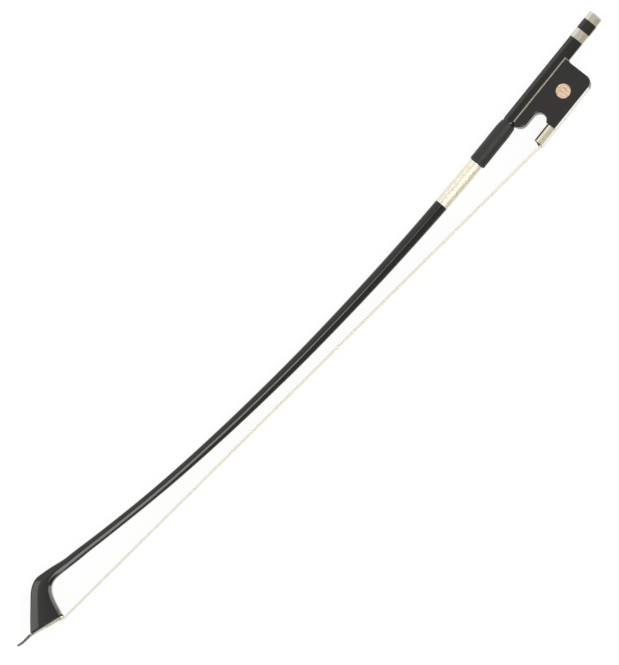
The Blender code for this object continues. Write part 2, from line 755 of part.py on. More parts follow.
def make_frog_body():
    frog = flat_shape("frog_body", [frog_outline()], FROG_HALF_BOTTOM, HANDLE)
    shape = bmesh.new()
    shape.from_mesh(frog.data)
    bmesh.ops.dissolve_limit(shape, angle_limit=0.01, verts=shape.verts, edges=shape.edges)
    for vertex in shape.verts:
        vertex.co.z = math.copysign(frog_half_width(vertex.co.y / MM) * MM, vertex.co.z)
    weights = shape.edges.layers.float.new("bevel_weight_edge")
    for edge in shape.edges:
        place = (edge.verts[0].co + edge.verts[1].co) / 2.0 / MM
        if edge.verts[0].co.z * edge.verts[1].co.z > 0.0:
            edge[weights] = bevel_weight(place)
    shape.to_mesh(frog.data)
    shape.free()
    rounding = frog.modifiers.new("edges", "BEVEL")
    rounding.width = THROAT_BEVEL * MM
    rounding.segments = 2
    rounding.limit_method = "WEIGHT"
    rounding.use_clamp_overlap = False
    paint(frog, EBONY, 0.3)

    rise, half = FERRULE_RISE - FERRULE_WALL - GAP, FERRULE_HALF - FERRULE_WALL - GAP
    arch = arc((FERRULE_SPRING, 0.0), half, 270.0, 90.0, 24, rise / half)
    arch = [point for point in arch if point[0] < TONGUE_TOP]
    boolean(frog, section_shape("tongue", [arch], FROG_FRONT - 3.0, TONGUE_END), "UNION")

    flats = HANDLE_FLATS + 2.0 * (UNDERSLIDE_THICKNESS + 2.0 * GAP)
    boolean(frog, as_cutter(octagon("stick_channel", flats, FROG_HEEL - PAST, NOSE_FRONT + PAST)))
    reach = EYELET_STEM_END + GAP
    stem = rod("eyelet_hole", EYELET_STEM_RADIUS + GAP, 0.0, reach, 12, HANDLE, "Y", (EYELET_X, 0.0))
    boolean(frog, as_cutter(stem))
    pocket_low = (HAIR_POCKET[0], HAIR_POCKET_FLOOR, -HAIR_POCKET_HALF)
    pocket_high = (HAIR_POCKET[1], FROG_BOTTOM + PAST, HAIR_POCKET_HALF)
    boolean(frog, as_cutter(block("hair_pocket", pocket_low, pocket_high, HANDLE)))
    trough_low = (HAIR_POCKET[1] - 1.0, HAIR_TROUGH_FLOOR, -HAIR_TROUGH_HALF)
    trough_high = (FROG_FRONT + PAST, SLIDE_FLOOR + 0.4, HAIR_TROUGH_HALF)
    boolean(frog, as_cutter(block("hair_trough", trough_low, trough_high, HANDLE)))
    channel = section_shape("slide_channel", [slide_section(0.0, PAST)], SLIDE_START, FROG_FRONT + PAST)
    boolean(frog, as_cutter(channel))
    for name, side in (("upper", 1.0), ("lower", -1.0)):
        recess = eye_rod(f"eye_recess_{name}", EYE_RADIUS + GAP, -EYE_DEPTH, PAST, side)
        boolean(frog, as_cutter(recess))


def slide_section(clearance, above):
    """The dovetail of the slide; above draws it out past the frog's face for the cutter."""
    slope = (SLIDE_HALF_FLOOR - SLIDE_HALF_MOUTH) / (FROG_BOTTOM - SLIDE_FLOOR)
    low, high = SLIDE_FLOOR + clearance, FROG_BOTTOM + above
    half_low = SLIDE_HALF_FLOOR - slope * clearance - clearance
    half_high = SLIDE_HALF_MOUTH - slope * above - clearance
    return [(low, -half_low), (high, -half_high), (high, half_high), (low, half_low)]


def eye_rod(name, radius, low, high, side):
    """A disc square to a cheek at the eye's place, from low to high out of the cheek."""
    x, y = EYE_CENTRE
    tilt = cheek_tilt()
    eye = rod(name, radius, low, high, 24, HANDLE, "Z")
    out = Vector((0.0, -math.sin(tilt), side * math.cos(tilt)))
    surface = Vector((x, y, side * frog_half_width(y)))
    eye.location = (surface + out * (low + high) / 2.0) * MM
    eye.rotation_euler = (tilt if side > 0.0 else math.pi - tilt, 0.0, 0.0)
    return eye


def make_eyes():
    for name, side in (("eye_upper", 1.0), ("eye_lower", -1.0)):
        eye = eye_rod(name, EYE_RADIUS, -EYE_DEPTH + GAP, 0.05, side)
        soften(eye, 0.15)
        smooth(eye)
        paint(eye, ROSE_PEARL, 0.25)


def make_slide():
    """The dovetailed slide and the pearl laid on it, flush with the frog's hair side."""
    split = FROG_BOTTOM - PEARL_THICKNESS
    low_left, high_left, high_right, low_right = slide_section(GAP, 0.0)

    def half_at(y):
        share = (y - low_right[0]) / (high_right[0] - low_right[0])
        return low_right[1] + (high_right[1] - low_right[1]) * share

    base_top = split - GAP
    base = [low_left, (base_top, -half_at(base_top)), (base_top, half_at(base_top)), low_right]
    pearl = [(split, -half_at(split)), high_left, high_right, (split, half_at(split))]
    start, end = SLIDE_START + GAP, FROG_FRONT - 0.1
    slide = section_shape("slide_base", [base], start, end)
    paint(slide, EBONY, 0.35)
    strip = section_shape("slide_pearl", [pearl], start, end)
    paint(strip, PEARL, 0.2)


def make_ferrule():
    def loop(inset):
        half, rise = FERRULE_HALF - inset, FERRULE_RISE - inset
        flat, corner = FERRULE_FLAT - inset, max(FERRULE_CORNER - inset, 0.3)
        points = arc((FERRULE_SPRING, 0.0), half, 270.0, 90.0, 20, rise / half)
        points += arc((flat - corner, half - corner), corner, 90.0, 0.0, 3)
        points += arc((flat - corner, corner - half), corner, 0.0, -90.0, 3)
        return points

    ferrule = section_shape("ferrule", [loop(0.0), loop(FERRULE_WALL)], *FERRULE)
    smooth(ferrule)
    paint(ferrule, SILVER, 0.22, 1.0)


def make_frog_wedges():
    """The wedge that spreads the hair in the ferrule, and the plug that locks the knot in its pocket."""
    wedge = flat_shape("spread_wedge", [SPREAD_WEDGE], SPREAD_WEDGE_HALF, HANDLE)
    soften(wedge, 0.15)
    paint(wedge, WALNUT, 0.55)

    half = HAIR_POCKET_HALF - GAP
    low = (FROG_WEDGE[0], FROG_WEDGE_DEPTH[0], -half)
    high = (FROG_WEDGE[1], FROG_WEDGE_DEPTH[1], half)
    plug = block("frog_wedge", low, high, HANDLE)
    soften(plug, 0.2)
    paint(plug, MAPLE, 0.6)


def make_underslide():
    """A channel of thin silver on the handle's three hair-side flats."""
    def facets(offset, edge_z):
        flat = HANDLE_FLATS / 2.0 + offset
        corner = flat * math.tan(math.pi / 8.0)
        edge_y = flat * math.sqrt(2.0) - edge_z
        return [(edge_y, -edge_z), (flat, -corner), (flat, corner), (edge_y, edge_z)]

    near = facets(GAP, FROG_HALF_TOP)
    far = facets(GAP + UNDERSLIDE_THICKNESS, FROG_HALF_TOP)
    underslide = section_shape("underslide", [near + far[::-1]], *UNDERSLIDE)
    paint(underslide, SILVER, 0.3, 1.0)

    def upright(name, radius, start, end, x, tip_radius=None):
        return rod(name, radius, start, end, 12, HANDLE, "Y", (x, 0.0), tip_radius)

    face = HANDLE_FLATS / 2.0 + GAP
    back = face + UNDERSLIDE_THICKNESS
    low, high = face - PAST, back + PAST
    stem_hole = upright("underslide_stem_hole", EYELET_STEM_RADIUS + GAP, low, high, EYELET_X)
    boolean(underslide, as_cutter(stem_hole))
    tip = back + SMALL_SCREW_LENGTH
    head_radius, shank_radius = SMALL_SCREW_HEAD_RADIUS, SMALL_SCREW_SHANK_RADIUS
    for name, x in UNDERSLIDE_SCREWS:
        head_hole = upright(f"{name}_head_hole", head_radius + GAP, low, high, x)
        boolean(underslide, as_cutter(head_hole))
        shank_hole = upright(f"{name}_shank_hole", shank_radius + GAP, back - 1.0, tip + GAP, x)
        boolean(bpy.data.objects["frog_body"], as_cutter(shank_hole))
        screw = upright(f"underslide_screw_{name}", head_radius, face, back, x)
        shank = upright(f"{name}_shank", shank_radius, back - 0.5, tip, x, SMALL_SCREW_TIP_RADIUS)
        boolean(screw, shank, "UNION")
        paint(screw, SILVER, 0.3, 1.0)


def make_screw_and_button():
    screw = rod("screw", SCREW_RADIUS, *SCREW_SPAN, 12, HANDLE)
    soften(screw, 0.3)
    smooth(screw)
    paint(screw, STEEL, 0.3, 1.0)

    core = octagon("button_core", BUTTON_FLATS, *CORE)
    soften(core, 0.25)
    spigot = rod("core_spigot", SPIGOT_RADIUS, CAP_FLOOR + GAP, NIPPLE_START - GAP, 24, HANDLE)
    boolean(core, spigot, "UNION")
    bore = rod("core_bore", SCREW_RADIUS + GAP, SCREW_SPAN[0] - GAP, NIPPLE_START + PAST, 12, HANDLE)
    boolean(core, as_cutter(bore))
    paint(core, EBONY, 0.35)

    cap = octagon("button_cap", BUTTON_FLATS - 0.2, 0.0, CAP_END)
    soften(cap, 0.9, 2)
    boolean(cap, as_cutter(rod("cap_socket", SOCKET_RADIUS, CAP_FLOOR, CAP_END + PAST, 24, HANDLE)))
    collar = octagon("button_collar", BUTTON_FLATS, *COLLAR)
    soften(collar, 0.3)
    start, end = COLLAR
    boolean(collar, as_cutter(rod("collar_socket", SOCKET_RADIUS, start - PAST, end + PAST, 24, HANDLE)))
    for ring in (cap, collar):
        paint(ring, SILVER, 0.25, 1.0)


def make_eyelet():
    """The brass nut on the screw: a rounded block with a round foot that goes up into the frog."""
    foot = HANDLE_FLATS / 2.0 - GAP
    outline = arc((-0.2, 0.0), EYELET_HALF_WIDTH, 270.0, 90.0, 10)
    outline += [(foot, EYELET_HALF_WIDTH), (foot, -EYELET_HALF_WIDTH)]
    eyelet = section_shape("eyelet", [outline], EYELET_X - EYELET_HALF_LENGTH, EYELET_X + EYELET_HALF_LENGTH)
    centre = (EYELET_X, 0.0)
    stem = rod("eyelet_stem", EYELET_STEM_RADIUS, foot - 1.0, EYELET_STEM_END, 12, HANDLE, "Y", centre)
    boolean(eyelet, stem, "UNION")
    reach = EYELET_HALF_LENGTH + PAST
    bore = rod("eyelet_bore", SCREW_RADIUS + GAP, EYELET_X - reach, EYELET_X + reach, 12, HANDLE)
    boolean(eyelet, as_cutter(bore))
    paint(eyelet, BRASS, 0.35, 1.0)


clear_scene()
PARTS = new_collection("double_bass_bow")
CUTTERS = new_collection("cutters")
MEDIAN = new_empty("median_plane", None, (0.0, 0.0, MEDIAN_HEIGHT), (0.0, 0.0, 0.0))
HANDLE = new_empty("handle_axis", MEDIAN, (*BUTTON_END, 0.0), (0.0, 0.0, HANDLE_TILT))
SECTIONS = new_empty("handle_sections", HANDLE, (0.0, 0.0, 0.0), (math.pi / 2.0, 0.0, math.pi / 2.0))
PLATE = new_empty("plate_face", MEDIAN, (*PLATE_REAR, 0.0), (0.0, 0.0, -PLATE_TILT))
bpy.context.view_layer.update()

make_stick()
make_head_fittings()
make_hair()
make_winding()
make_grip()
make_frog_body()
make_eyes()
make_slide()
make_ferrule()
make_frog_wedges()
make_underslide()
make_screw_and_button()
make_eyelet()
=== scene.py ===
"""Dresses a French-style double bass bow: its finishes, and a fine mesh for each piece that shows.

Sizes are millimetres unless a name or a property says otherwise. Most pieces are shaped in the handle's
own frame, with x along the handle from the end of the button, y towards the hair and z up out of the
upper cheek, and are then put where the handle lies. The head's fittings are shaped in the head plate's
frame, with x along the plate from its rear edge and y out of it.
"""

import json
import math
import random

import bmesh
import bpy
from bpy.props import FloatProperty, FloatVectorProperty, IntProperty, PointerProperty
from mathutils import Matrix, Vector, noise


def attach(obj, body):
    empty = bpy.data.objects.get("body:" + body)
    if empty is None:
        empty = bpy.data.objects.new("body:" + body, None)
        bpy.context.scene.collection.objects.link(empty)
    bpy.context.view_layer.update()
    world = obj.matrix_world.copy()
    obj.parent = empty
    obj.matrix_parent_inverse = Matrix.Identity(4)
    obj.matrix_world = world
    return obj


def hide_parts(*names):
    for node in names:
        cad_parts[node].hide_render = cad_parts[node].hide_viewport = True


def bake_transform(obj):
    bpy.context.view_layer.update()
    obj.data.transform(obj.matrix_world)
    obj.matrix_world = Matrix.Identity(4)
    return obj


bl_info = {
    "name": "Double bass bow",
    "version": (1, 0, 0),
    "blender": (4, 5, 0),
    "location": "3D View > Sidebar > Bow",
    "description": "Models and dresses a double bass bow around its packed solids",
    "category": "Object",
}

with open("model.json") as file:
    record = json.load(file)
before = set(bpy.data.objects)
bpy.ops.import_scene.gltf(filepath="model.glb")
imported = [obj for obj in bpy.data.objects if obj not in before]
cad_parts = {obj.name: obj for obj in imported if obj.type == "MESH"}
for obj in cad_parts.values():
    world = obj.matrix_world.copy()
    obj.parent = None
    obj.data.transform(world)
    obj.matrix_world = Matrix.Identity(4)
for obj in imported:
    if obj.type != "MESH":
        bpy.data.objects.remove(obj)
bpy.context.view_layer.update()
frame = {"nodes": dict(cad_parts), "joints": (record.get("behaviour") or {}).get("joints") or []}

MM = 0.001
SCREW_JOINT = next(joint for joint in frame["joints"] if joint["name"] == "screw_turn")
BUTTON_END = Vector(SCREW_JOINT["pos_m"])
HANDLE_TILT = math.atan2(SCREW_JOINT["axis"][1], SCREW_JOINT["axis"][0])
HANDLE = Matrix.Translation(BUTTON_END) @ Matrix.Rotation(HANDLE_TILT, 4, "Z")
MEDIAN = Matrix.Translation((0.0, 0.0, BUTTON_END.z))
PLATE_REAR = (310.9, 24.2)
PLATE_TILT = math.radians(14.3)
PLATE = MEDIAN @ Matrix.Translation((PLATE_REAR[0] * MM, PLATE_REAR[1] * MM, 0.0))
PLATE = PLATE @ Matrix.Rotation(-PLATE_TILT, 4, "Z")

# Distances in metres within which a cut, or welding, takes two points for one
CUT_TOLERANCE = 0.000001
WELD_DISTANCE = 0.000005

# Stick: stations are places along the bow, and drops are below the hair
HAIR_LINE = 25.0
STICK_SIDES = 48
HANDLE_FLAT = 6.1
HANDLE_EDGE = 6.49
NIPPLE = (20.9, 4.4)
STICK_END = 26.65
OCTAGON_END = 112.8
ROUND_START = 116.6
HANDLE_ROUND = 6.0
RUN_OUT_STEPS = 20
FLATS_MIDDLE = 60.0
BEND_START = 150.0
LEAD_IN = 20.0
WINDING_SEAT = 5.75
WINDING_MARGIN = 0.3
CAMBER = [
    (-140.9, 22.7),
    (-74.4, 18.6),
    (-7.9, 16.2),
    (42.0, 15.6),
    (108.5, 16.7),
    (175.0, 20.1),
    (241.5, 26.7),
    (291.4, 33.6),
]
TAPER = [
    (-152.0, 5.85),
    (-107.7, 5.55),
    (-41.2, 5.2),
    (42.0, 4.75),
    (125.0, 4.25),
    (208.3, 3.8),
    (262.0, 3.95),
]
SHAFT = (-146.0, 256.0, 42)

# Head: inner edge, outer edge, half width over the cheeks, and how far the section has left the round.
# The section gives depth and width round one cheek, whose curve starts after the chamfer.
HEAD_STATIONS = [
    (266.0, -0.5, 264.9, -8.7, 3.95, 0.0),
    (277.8, -1.8, 277.5, -10.2, 4.1, 0.15),
    (287.0, -2.9, 288.5, -12.7, 4.4, 0.4),
    (294.0, -3.2, 298.6, -14.5, 4.7, 0.7),
    (298.8, -1.9, 305.3, -15.0, 4.9, 0.9),
    (302.0, 0.5, 311.2, -13.1, 5.1, 1.0),
    (304.4, 3.9, 316.8, -9.2, 5.35, 1.0),
    (306.5, 8.7, 324.5, -1.6, 5.6, 1.0),
    (308.5, 15.3, 333.0, 7.0, 5.95, 1.0),
]
HEAD_SECTION = [
    (0.0, 0.0),
    (0.0, 0.42),
    (0.0, 0.78),
    (0.08, 1.0),
    (0.38, 0.99),
    (0.64, 0.84),
    (0.85, 0.58),
    (1.0, 0.3),
    (1.0, 0.0),
]
CHEEK_START = 3
HEAD_CHAMFER = 2.4
FACE_HALF = 6.3
FACE_CORNER = 0.78
FACE_LENGTH = 30.5
FACE_DEPTH = 2.5
HEAD_MORTISE = (5.0, 17.0, 4.4)
WORN_CORNER = (-0.3, -2.4)

# Head plate, from its rear edge: place, lower face, upper face and half width of the beak
PLATE_THICKNESS = 0.9
LINER = (-2.2, -1.2)
BEAK = [
    (31.6, -2.1, 0.08, 1.9),
    (33.2, -1.8, 0.35, 1.85),
    (36.0, -0.9, 1.0, 1.75),
    (40.0, 0.1, 1.9, 1.55),
    (43.5, 0.5, 2.1, 1.35),
    (45.6, 0.6, 1.8, 1.1),
]

# Hair: the ends' paths give place, depth, thickness and half width
HAIR_THICKNESS = 0.9
HAIR_HALF = (6.5, 4.9)
HAIR_X = (-246.3, 311.2)
HAIR_STATIONS = 26
CORE_INSET = (0.16, 0.2)
LANE_SPREAD = 0.35
HAIR_DRIFT = (0.5, 0.05)
HAIR_WAVES = (0.35, 0.4)
HELD_STATIONS = 5.0
HAIR_TONES = (0.25, 1.0)
CORE_TONE = 0.3
FROG_END = [
    (97.0, 29.85, 0.9, 5.5),
    (104.0, 30.75, 0.9, 6.1),
    (109.0, 31.7, 0.9, 6.4),
    (112.6, 32.42, 0.9, 6.5),
]
HEAD_END = [
    (1.2, 0.8, 0.9, 4.85),
    (3.6, 0.8, 0.9, 4.3),
    (4.9, 0.62, 0.9, 4.05),
    (5.6, 0.05, 0.9, 3.95),
    (5.85, -1.0, 0.9, 3.9),
    (6.0, -4.0, 0.9, 3.85),
]

# Winding: thickness of a turn over its pitch, more than one because burnishing beds the turns together
BURNISHED = 1.3
TURN_SPACE = 1.005
TURN_POINTS = 26

# Grip: its radius at distances from its end at the frog, and then from its far end
GRIP_SHOULDER = [
    (0.25, 6.1),
    (0.02, 6.35),
    (0.12, 6.6),
    (0.6, 6.8),
    (2.4, 6.98),
    (5.0, 7.22),
    (7.0, 7.36),
    (9.5, 7.4),
]
GRIP_HEM = [(2.5, 7.4), (0.9, 7.4), (0.35, 7.3), (0.08, 7.05), (0.0, 6.7), (0.0, 6.05)]
GRIP_STEPS = 72
GRIP_LAP = 0.28
LAP_PLACE = 0.36
GRIP_LUMPS = 260.0
GRIP_UNEVEN = (0.06, 0.05)

# Frog
FROG_TOP = 4.05
FROG_BOTTOM = 33.5
FROG_FRONT = 96.0
FROG_HALF_TOP = 6.6
FROG_HALF_BOTTOM = 9.0
HEEL_RADIUS = 6.4
THROAT_CENTRE = (98.1, 18.65)
THROAT_RADIUS = 6.05
NOSE_RADIUS = 7.6
NOSE_FRONT = 114.9
EDGE_BEVEL = 0.45
THROAT_BEVEL = 1.5
CHANNEL_FLATS = 15.2
EYE_CENTRE = (67.0, 19.3)
EYE_RADIUS = 6.25
EYE_DEPTH = 1.5
EYE_GAP = 0.06
SLIDE_FLOOR = 30.6
SLIDE_HALF = (7.6, 6.7)
SLIDE_GAP = 0.15
DOVETAIL_TOP = (FROG_BOTTOM + 2.0, 6.08)
CHEEK_TILT = math.atan2(FROG_HALF_BOTTOM - FROG_HALF_TOP, FROG_BOTTOM - FROG_TOP)

# Ferrule, and its wedge: depths of the wedge's back, of its face behind, of its crest and of its lip
FERRULE_FLAT = 33.95
FERRULE_HALF = 9.3
FERRULE_WALL = 0.6
FERRULE_SPRING = 30.5
FERRULE_RISE = 5.5
FERRULE_CORNER = 0.9
TONGUE_END = 112.9
WEDGE_DEPTHS = (29.3, 30.05, 31.4, 31.15)
WEDGE_NOSE = 1.0

# Button: where the bores along the handle start and end, and their radii
CAP_ROUNDING = 1.7
BAND_LAP = 0.12
SPIGOT = (2.5, 20.6, 4.4)
SPIGOT_SEAT = (2.2, 4.7)
SCREW_BORE = (4.2, 23.0, 1.9)

# Patterns of the finishes, from one mark to the next; streaks in wood go by its pores
WOOD_STREAK = 1.0 / 0.45
STAIN_PATCH = 3.84615
PEBBLE_WARP = 1.11111
HELD_PATCH = 9.09091
ROSIN_STREAK = 0.625
SHELL_SWIRL = 7.69231
FIBRE_FLECK = 0.454545

# Depths of the finishes' relief
PORE_DEPTH = 0.05
BRUSH_DEPTH = 0.02
PEBBLE_DEPTH = 0.12
SHELL_DEPTH = 0.03
FLECK_DEPTH = 0.03

# Grain of worked metal, long along the bow, round it, or up out of the cheek
ALONG_BOW = (0.06, 1.0, 1.0)
ROUND_BOW = (1.0, 0.1, 0.1)
UP_BOW = (1.0, 1.0, 0.1)

# The two inputs and the output by which vectors and colours are mixed
VECTOR_A, VECTOR_B, VECTOR_RESULT = 4, 5, 1
COLOUR_A, COLOUR_B, COLOUR_RESULT = 6, 7, 2

# Tent, in metres: share of the way from the hair's side to the back's, brightness and colour of the cloth
TENT_RADIUS = 7.0
TENT_STRENGTH = 1.1
TENT_LIGHT = [
    (0.0, 0.5, "#fff6e6"),
    (0.3, 0.3, "#fff8ee"),
    (0.5, 0.42, "#fffaf2"),
    (0.7, 0.8, "#ffffff"),
    (0.85, 0.98, "#ffffff"),
    (1.0, 0.8, "#ffffff"),
]

# Floor: its drop below the bow in metres, and how far it is lifted to white where it is seen
FLOOR_DROP = 0.0002
FLOOR_LIFT = 0.93
WHITE = (1.0, 1.0, 1.0, 1.0)

# Lamps: name, place and size in metres, and watts
LAMPS = [
    ("overhead_softbox", (0.51, 1.35, 2.15), (0.66, 3.4), 33.0),
    ("window_softbox", (-1.6, 0.7, 1.6), (1.4, 1.4), 24.0),
    ("back_softbox", (1.5, -1.9, 1.6), (1.4, 1.4), 10.0),
]

# Camera in millimetres of film, the photograph's height in metres of the bow, and the way it looks down
CAMERA_LENS = 400.0
CAMERA_SENSOR = 36.0
PHOTO_HEIGHT = 0.5529
VIEW_LEAN = math.radians(8.0)
VIEW_TURN = math.radians(135.29)
VIEW_CENTRE = (-0.0004, -0.0004)


def linear(code):
    """Linear colour of an sRGB hex code."""
    shares = [int(code[k:k + 2], 16) / 255.0 for k in (1, 3, 5)]
    return tuple(c / 12.92 if c <= 0.04045 else ((c + 0.055) / 1.055) ** 2.4 for c in shares)


def colour(label, code, words):
    """A colour that the panel shows."""
    return FloatVectorProperty(
        name=label, description=words, subtype="COLOR", size=3, min=0.0, max=1.0, default=linear(code)
    )


def length(label, metres, words):
    """A length that the panel shows."""
    return FloatProperty(
        name=label, description=words, subtype="DISTANCE", unit="LENGTH", min=0.00001, default=metres
    )


class BowSizes(bpy.types.PropertyGroup):
    wire: length("Wire", 0.00031, "Diameter of the silver wire that is wound round the stick")
    strand: length("Strand", 0.00024, "Diameter of a hair; a real one is 0.2 mm")
    strands: IntProperty(name="Strands", description="Hairs on each face of the ribbon", default=58, min=8)
    leather_grain: length("Leather grain", 0.0008, "Spacing of the pebbles in the leather")
    wood_pore: length("Wood pore", 0.00035, "Spacing of the wood's pores across the grain")
    silver_brush: length("Silver brush", 0.0002, "Spacing of the polishing lines on the silver")
    pearl_layer: length("Pearl layer", 0.0022, "Width of the bands in the mother-of-pearl")


class BowColours(bpy.types.PropertyGroup):
    lacquer: colour("Lacquer", "#141311", "Black stain under the stick's lacquer")
    ebony: colour("Ebony", "#100f0d", "Ground of the ebony")
    silver: colour("Silver", "#e2dece", "Clean polished silver")
    tarnish: colour("Tarnish", "#bfae8c", "Silver where it has yellowed")
    leather: colour("Leather", "#181918", "Dyed black leather")
    hair: colour("Hair", "#e5e3d8", "Bleached horsehair")
    rosin: colour("Rosin", "#d4d0bc", "Horsehair yellowed by rosin")
    wire: colour("Wire", "#f7f1e2", "Bright silver wire")
    nickel: colour("Nickel silver", "#cdc8b8", "Nickel silver of the head plate")
    # Darker colour that the head plate is given over its beak
    beak_dark: colour("Darker metal", "#77756c", "Nickel silver where it has darkened")
    pearl: colour("Pearl", "#dcd2c6", "Mother-of-pearl")
    pearl_warm: colour("Warm pearl", "#d8c8bc", "Pink bands in the mother-of-pearl")
    pearl_cool: colour("Cool pearl", "#cdd2cc", "Green bands in the mother-of-pearl")
    rose: colour("Rose pearl", "#c6aa90", "Rose mother-of-pearl of the eyes")
    rose_warm: colour("Warm rose pearl", "#b08a6e", "Brown bands in the eyes")
    rose_cool: colour("Pale rose pearl", "#d3c0a2", "Cream bands in the eyes")
    brass: colour("Brass", "#b98f43", "Eyelet's brass")
    steel: colour("Steel", "#9a9a98", "Screw's steel")
    maple: colour("Maple", "#dfd0ac", "Wedges in the mortises")
    bare_wood: colour("Bare wood", "#6f5547", "Stick where the lacquer has worn through")
    walnut: colour("Walnut", "#7a5636", "Wedge that spreads the hair")
    fibre: colour("Fibre", "#17181a", "Black fibre under the head plate")
    paper: colour("Paper", "#f4f4f2", "Floor")


def sizes():
    """The sizes set in the panel."""
    return bpy.context.scene.bow_sizes


def colours():
    """The colours set in the panel."""
    return bpy.context.scene.bow_colours


def added(name, data):
    """Adds an object with its data to the scene."""
    thing = bpy.data.objects.new(name, data)
    bpy.context.scene.collection.objects.link(thing)
    return thing


def only(thing):
    """Selects one object alone and makes it the active one."""
    if bpy.context.object and bpy.context.object.mode != "OBJECT":
        bpy.ops.object.mode_set(mode="OBJECT")
    bpy.ops.object.select_all(action="DESELECT")
    thing.select_set(True)
    bpy.context.view_layer.objects.active = thing
    return thing


def named(name):
    """Names the object that an operator has just added."""
    thing = bpy.context.object
    thing.name = name
    thing.data.name = name
    return only(thing)


def settled(thing):
    """Turns an object's place, turn and scale into those of its mesh."""
    bpy.ops.object.transform_apply(location=True, rotation=True, scale=True)
    return thing


def edited(thing, *steps):
    """Runs steps in edit mode with everything selected, faces being the last thing picked."""
    only(thing)
    bpy.ops.object.mode_set(mode="EDIT")
    bpy.ops.mesh.select_all(action="SELECT")
    for step in steps:
        step()
    bpy.ops.object.mode_set(mode="OBJECT")
    return thing


def pick(kind, test):
    """Selects the faces or the edges of the mesh being edited whose middle passes the test."""
    bpy.ops.mesh.select_mode(type=kind)
    bpy.ops.mesh.select_all(action="DESELECT")
    mesh = bpy.context.object.data
    shape = bmesh.from_edit_mesh(mesh)
    for item in shape.faces if kind == "FACE" else shape.edges:
        middle = sum((vertex.co for vertex in item.verts), Vector()) / len(item.verts)
        item.select_set(test(middle / MM))
    bmesh.update_edit_mesh(mesh)


def cut_off(point, outward):
    """Cuts what is selected by a plane, drops what is outside it and closes the cut."""
    bpy.ops.mesh.bisect(
        plane_co=point, plane_no=outward, use_fill=True, clear_outer=True, threshold=CUT_TOLERANCE
    )


def welded():
    """Makes one point of those that lie together, and turns every face outward."""
    bpy.ops.mesh.select_all(action="SELECT")
    bpy.ops.mesh.remove_doubles(threshold=WELD_DISTANCE)
    bpy.ops.mesh.normals_make_consistent(inside=False)


def modified(thing, kind, **settings):
    """Adds a modifier with its settings and applies it."""
    only(thing)
    change = thing.modifiers.new(kind.lower(), kind)
    for name, value in settings.items():
        setattr(change, name, value)
    bpy.ops.object.modifier_apply(modifier=change.name)
    return thing


def joined(thing, tool, operation):
    """Cuts or joins a tool into a thing, and removes the tool."""
    modified(thing, "BOOLEAN", object=tool, operation=operation, solver="EXACT")
    bpy.data.objects.remove(tool)
    return thing


def rounded(thing, width, segments=2, angle=35.0):
    """Rounds the edges that are sharper than an angle."""
    return modified(
        thing,
        "BEVEL",
        width=width * MM,
        segments=segments,
        limit_method="ANGLE",
        angle_limit=math.radians(angle),
        use_clamp_overlap=True,
    )


def dressed(thing, place, maker, body, slot, *nodes, angle=28.0, flat=True):
    """Puts a finished mesh in its place, gives it a maker's material, and ties it to its body and nodes.

    Flat keeps the large faces flat and gives all the turn of the light to the bevels between them.
    """
    only(thing)
    thing.matrix_world = place @ thing.matrix_world
    settled(thing)
    bpy.ops.object.shade_smooth_by_angle(angle=math.radians(angle))
    if flat:
        modified(thing, "WEIGHTED_NORMAL", mode="FACE_AREA", weight=60, keep_sharp=True)
    thing.data.materials.clear()
    thing.data.materials.append(finish_of(maker))
    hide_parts(*nodes)
    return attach(thing, body) if body else thing


def handle_box(node):
    """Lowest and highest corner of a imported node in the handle's frame."""
    back = HANDLE.inverted()
    points = [back @ vertex.co / MM for vertex in frame["nodes"][node].data.vertices]
    low = Vector(min(p[k] for p in points) for k in range(3))
    high = Vector(max(p[k] for p in points) for k in range(3))
    return low, high


def arc(centre, radius, start, end, steps, squash=1.0):
    """Points of an arc between two angles in degrees; squash scales it along the first axis."""
    points = []
    for step in range(steps + 1):
        angle = math.radians(start + (end - start) * step / steps)
        points.append((centre[0] + radius * squash * math.cos(angle), centre[1] + radius * math.sin(angle)))
    return points


def curve_solid(name, lines, closed, **settings):
    """A curve through the points of each line, made solid by its settings and turned into a mesh."""
    curve = bpy.data.curves.new(name, "CURVE")
    for setting, value in settings.items():
        setattr(curve, setting, value)
    for line in lines:
        spline = curve.splines.new("POLY")
        spline.points.add(len(line) - 1)
        for point, place in zip(spline.points, line):
            point.co = (*place, 1.0)
        spline.use_cyclic_u = closed
    only(added(name, curve))
    bpy.ops.object.convert(target="MESH")
    return edited(named(name), welded)


def flat_solid(name, loops, half):
    """An outline with any holes in it, drawn in x and y and thickened by half to each side."""
    lines = [[(u * MM, v * MM, 0.0) for u, v in loop] for loop in loops]
    thing = curve_solid(name, lines, True, dimensions="2D", fill_mode="BOTH", extrude=half * MM)
    return edited(thing, lambda: bpy.ops.mesh.dissolve_limited(angle_limit=0.01))


def wired(name, paths, diameter, sides):
    """Closed tubes of one diameter along paths, as one mesh."""
    tube = {"bevel_depth": diameter / 2.0, "bevel_resolution": sides, "use_fill_caps": True}
    return curve_solid(name, paths, False, dimensions="3D", **tube)


def section_solid(name, loops, start, end):
    """A section drawn in the handle's y and z, drawn out along the handle."""
    thing = flat_solid(name, loops, (end - start) / 2.0)
    thing.rotation_euler = (math.pi / 2.0, 0.0, math.pi / 2.0)
    thing.location = ((start + end) / 2.0 * MM, 0.0, 0.0)
    return settled(thing)


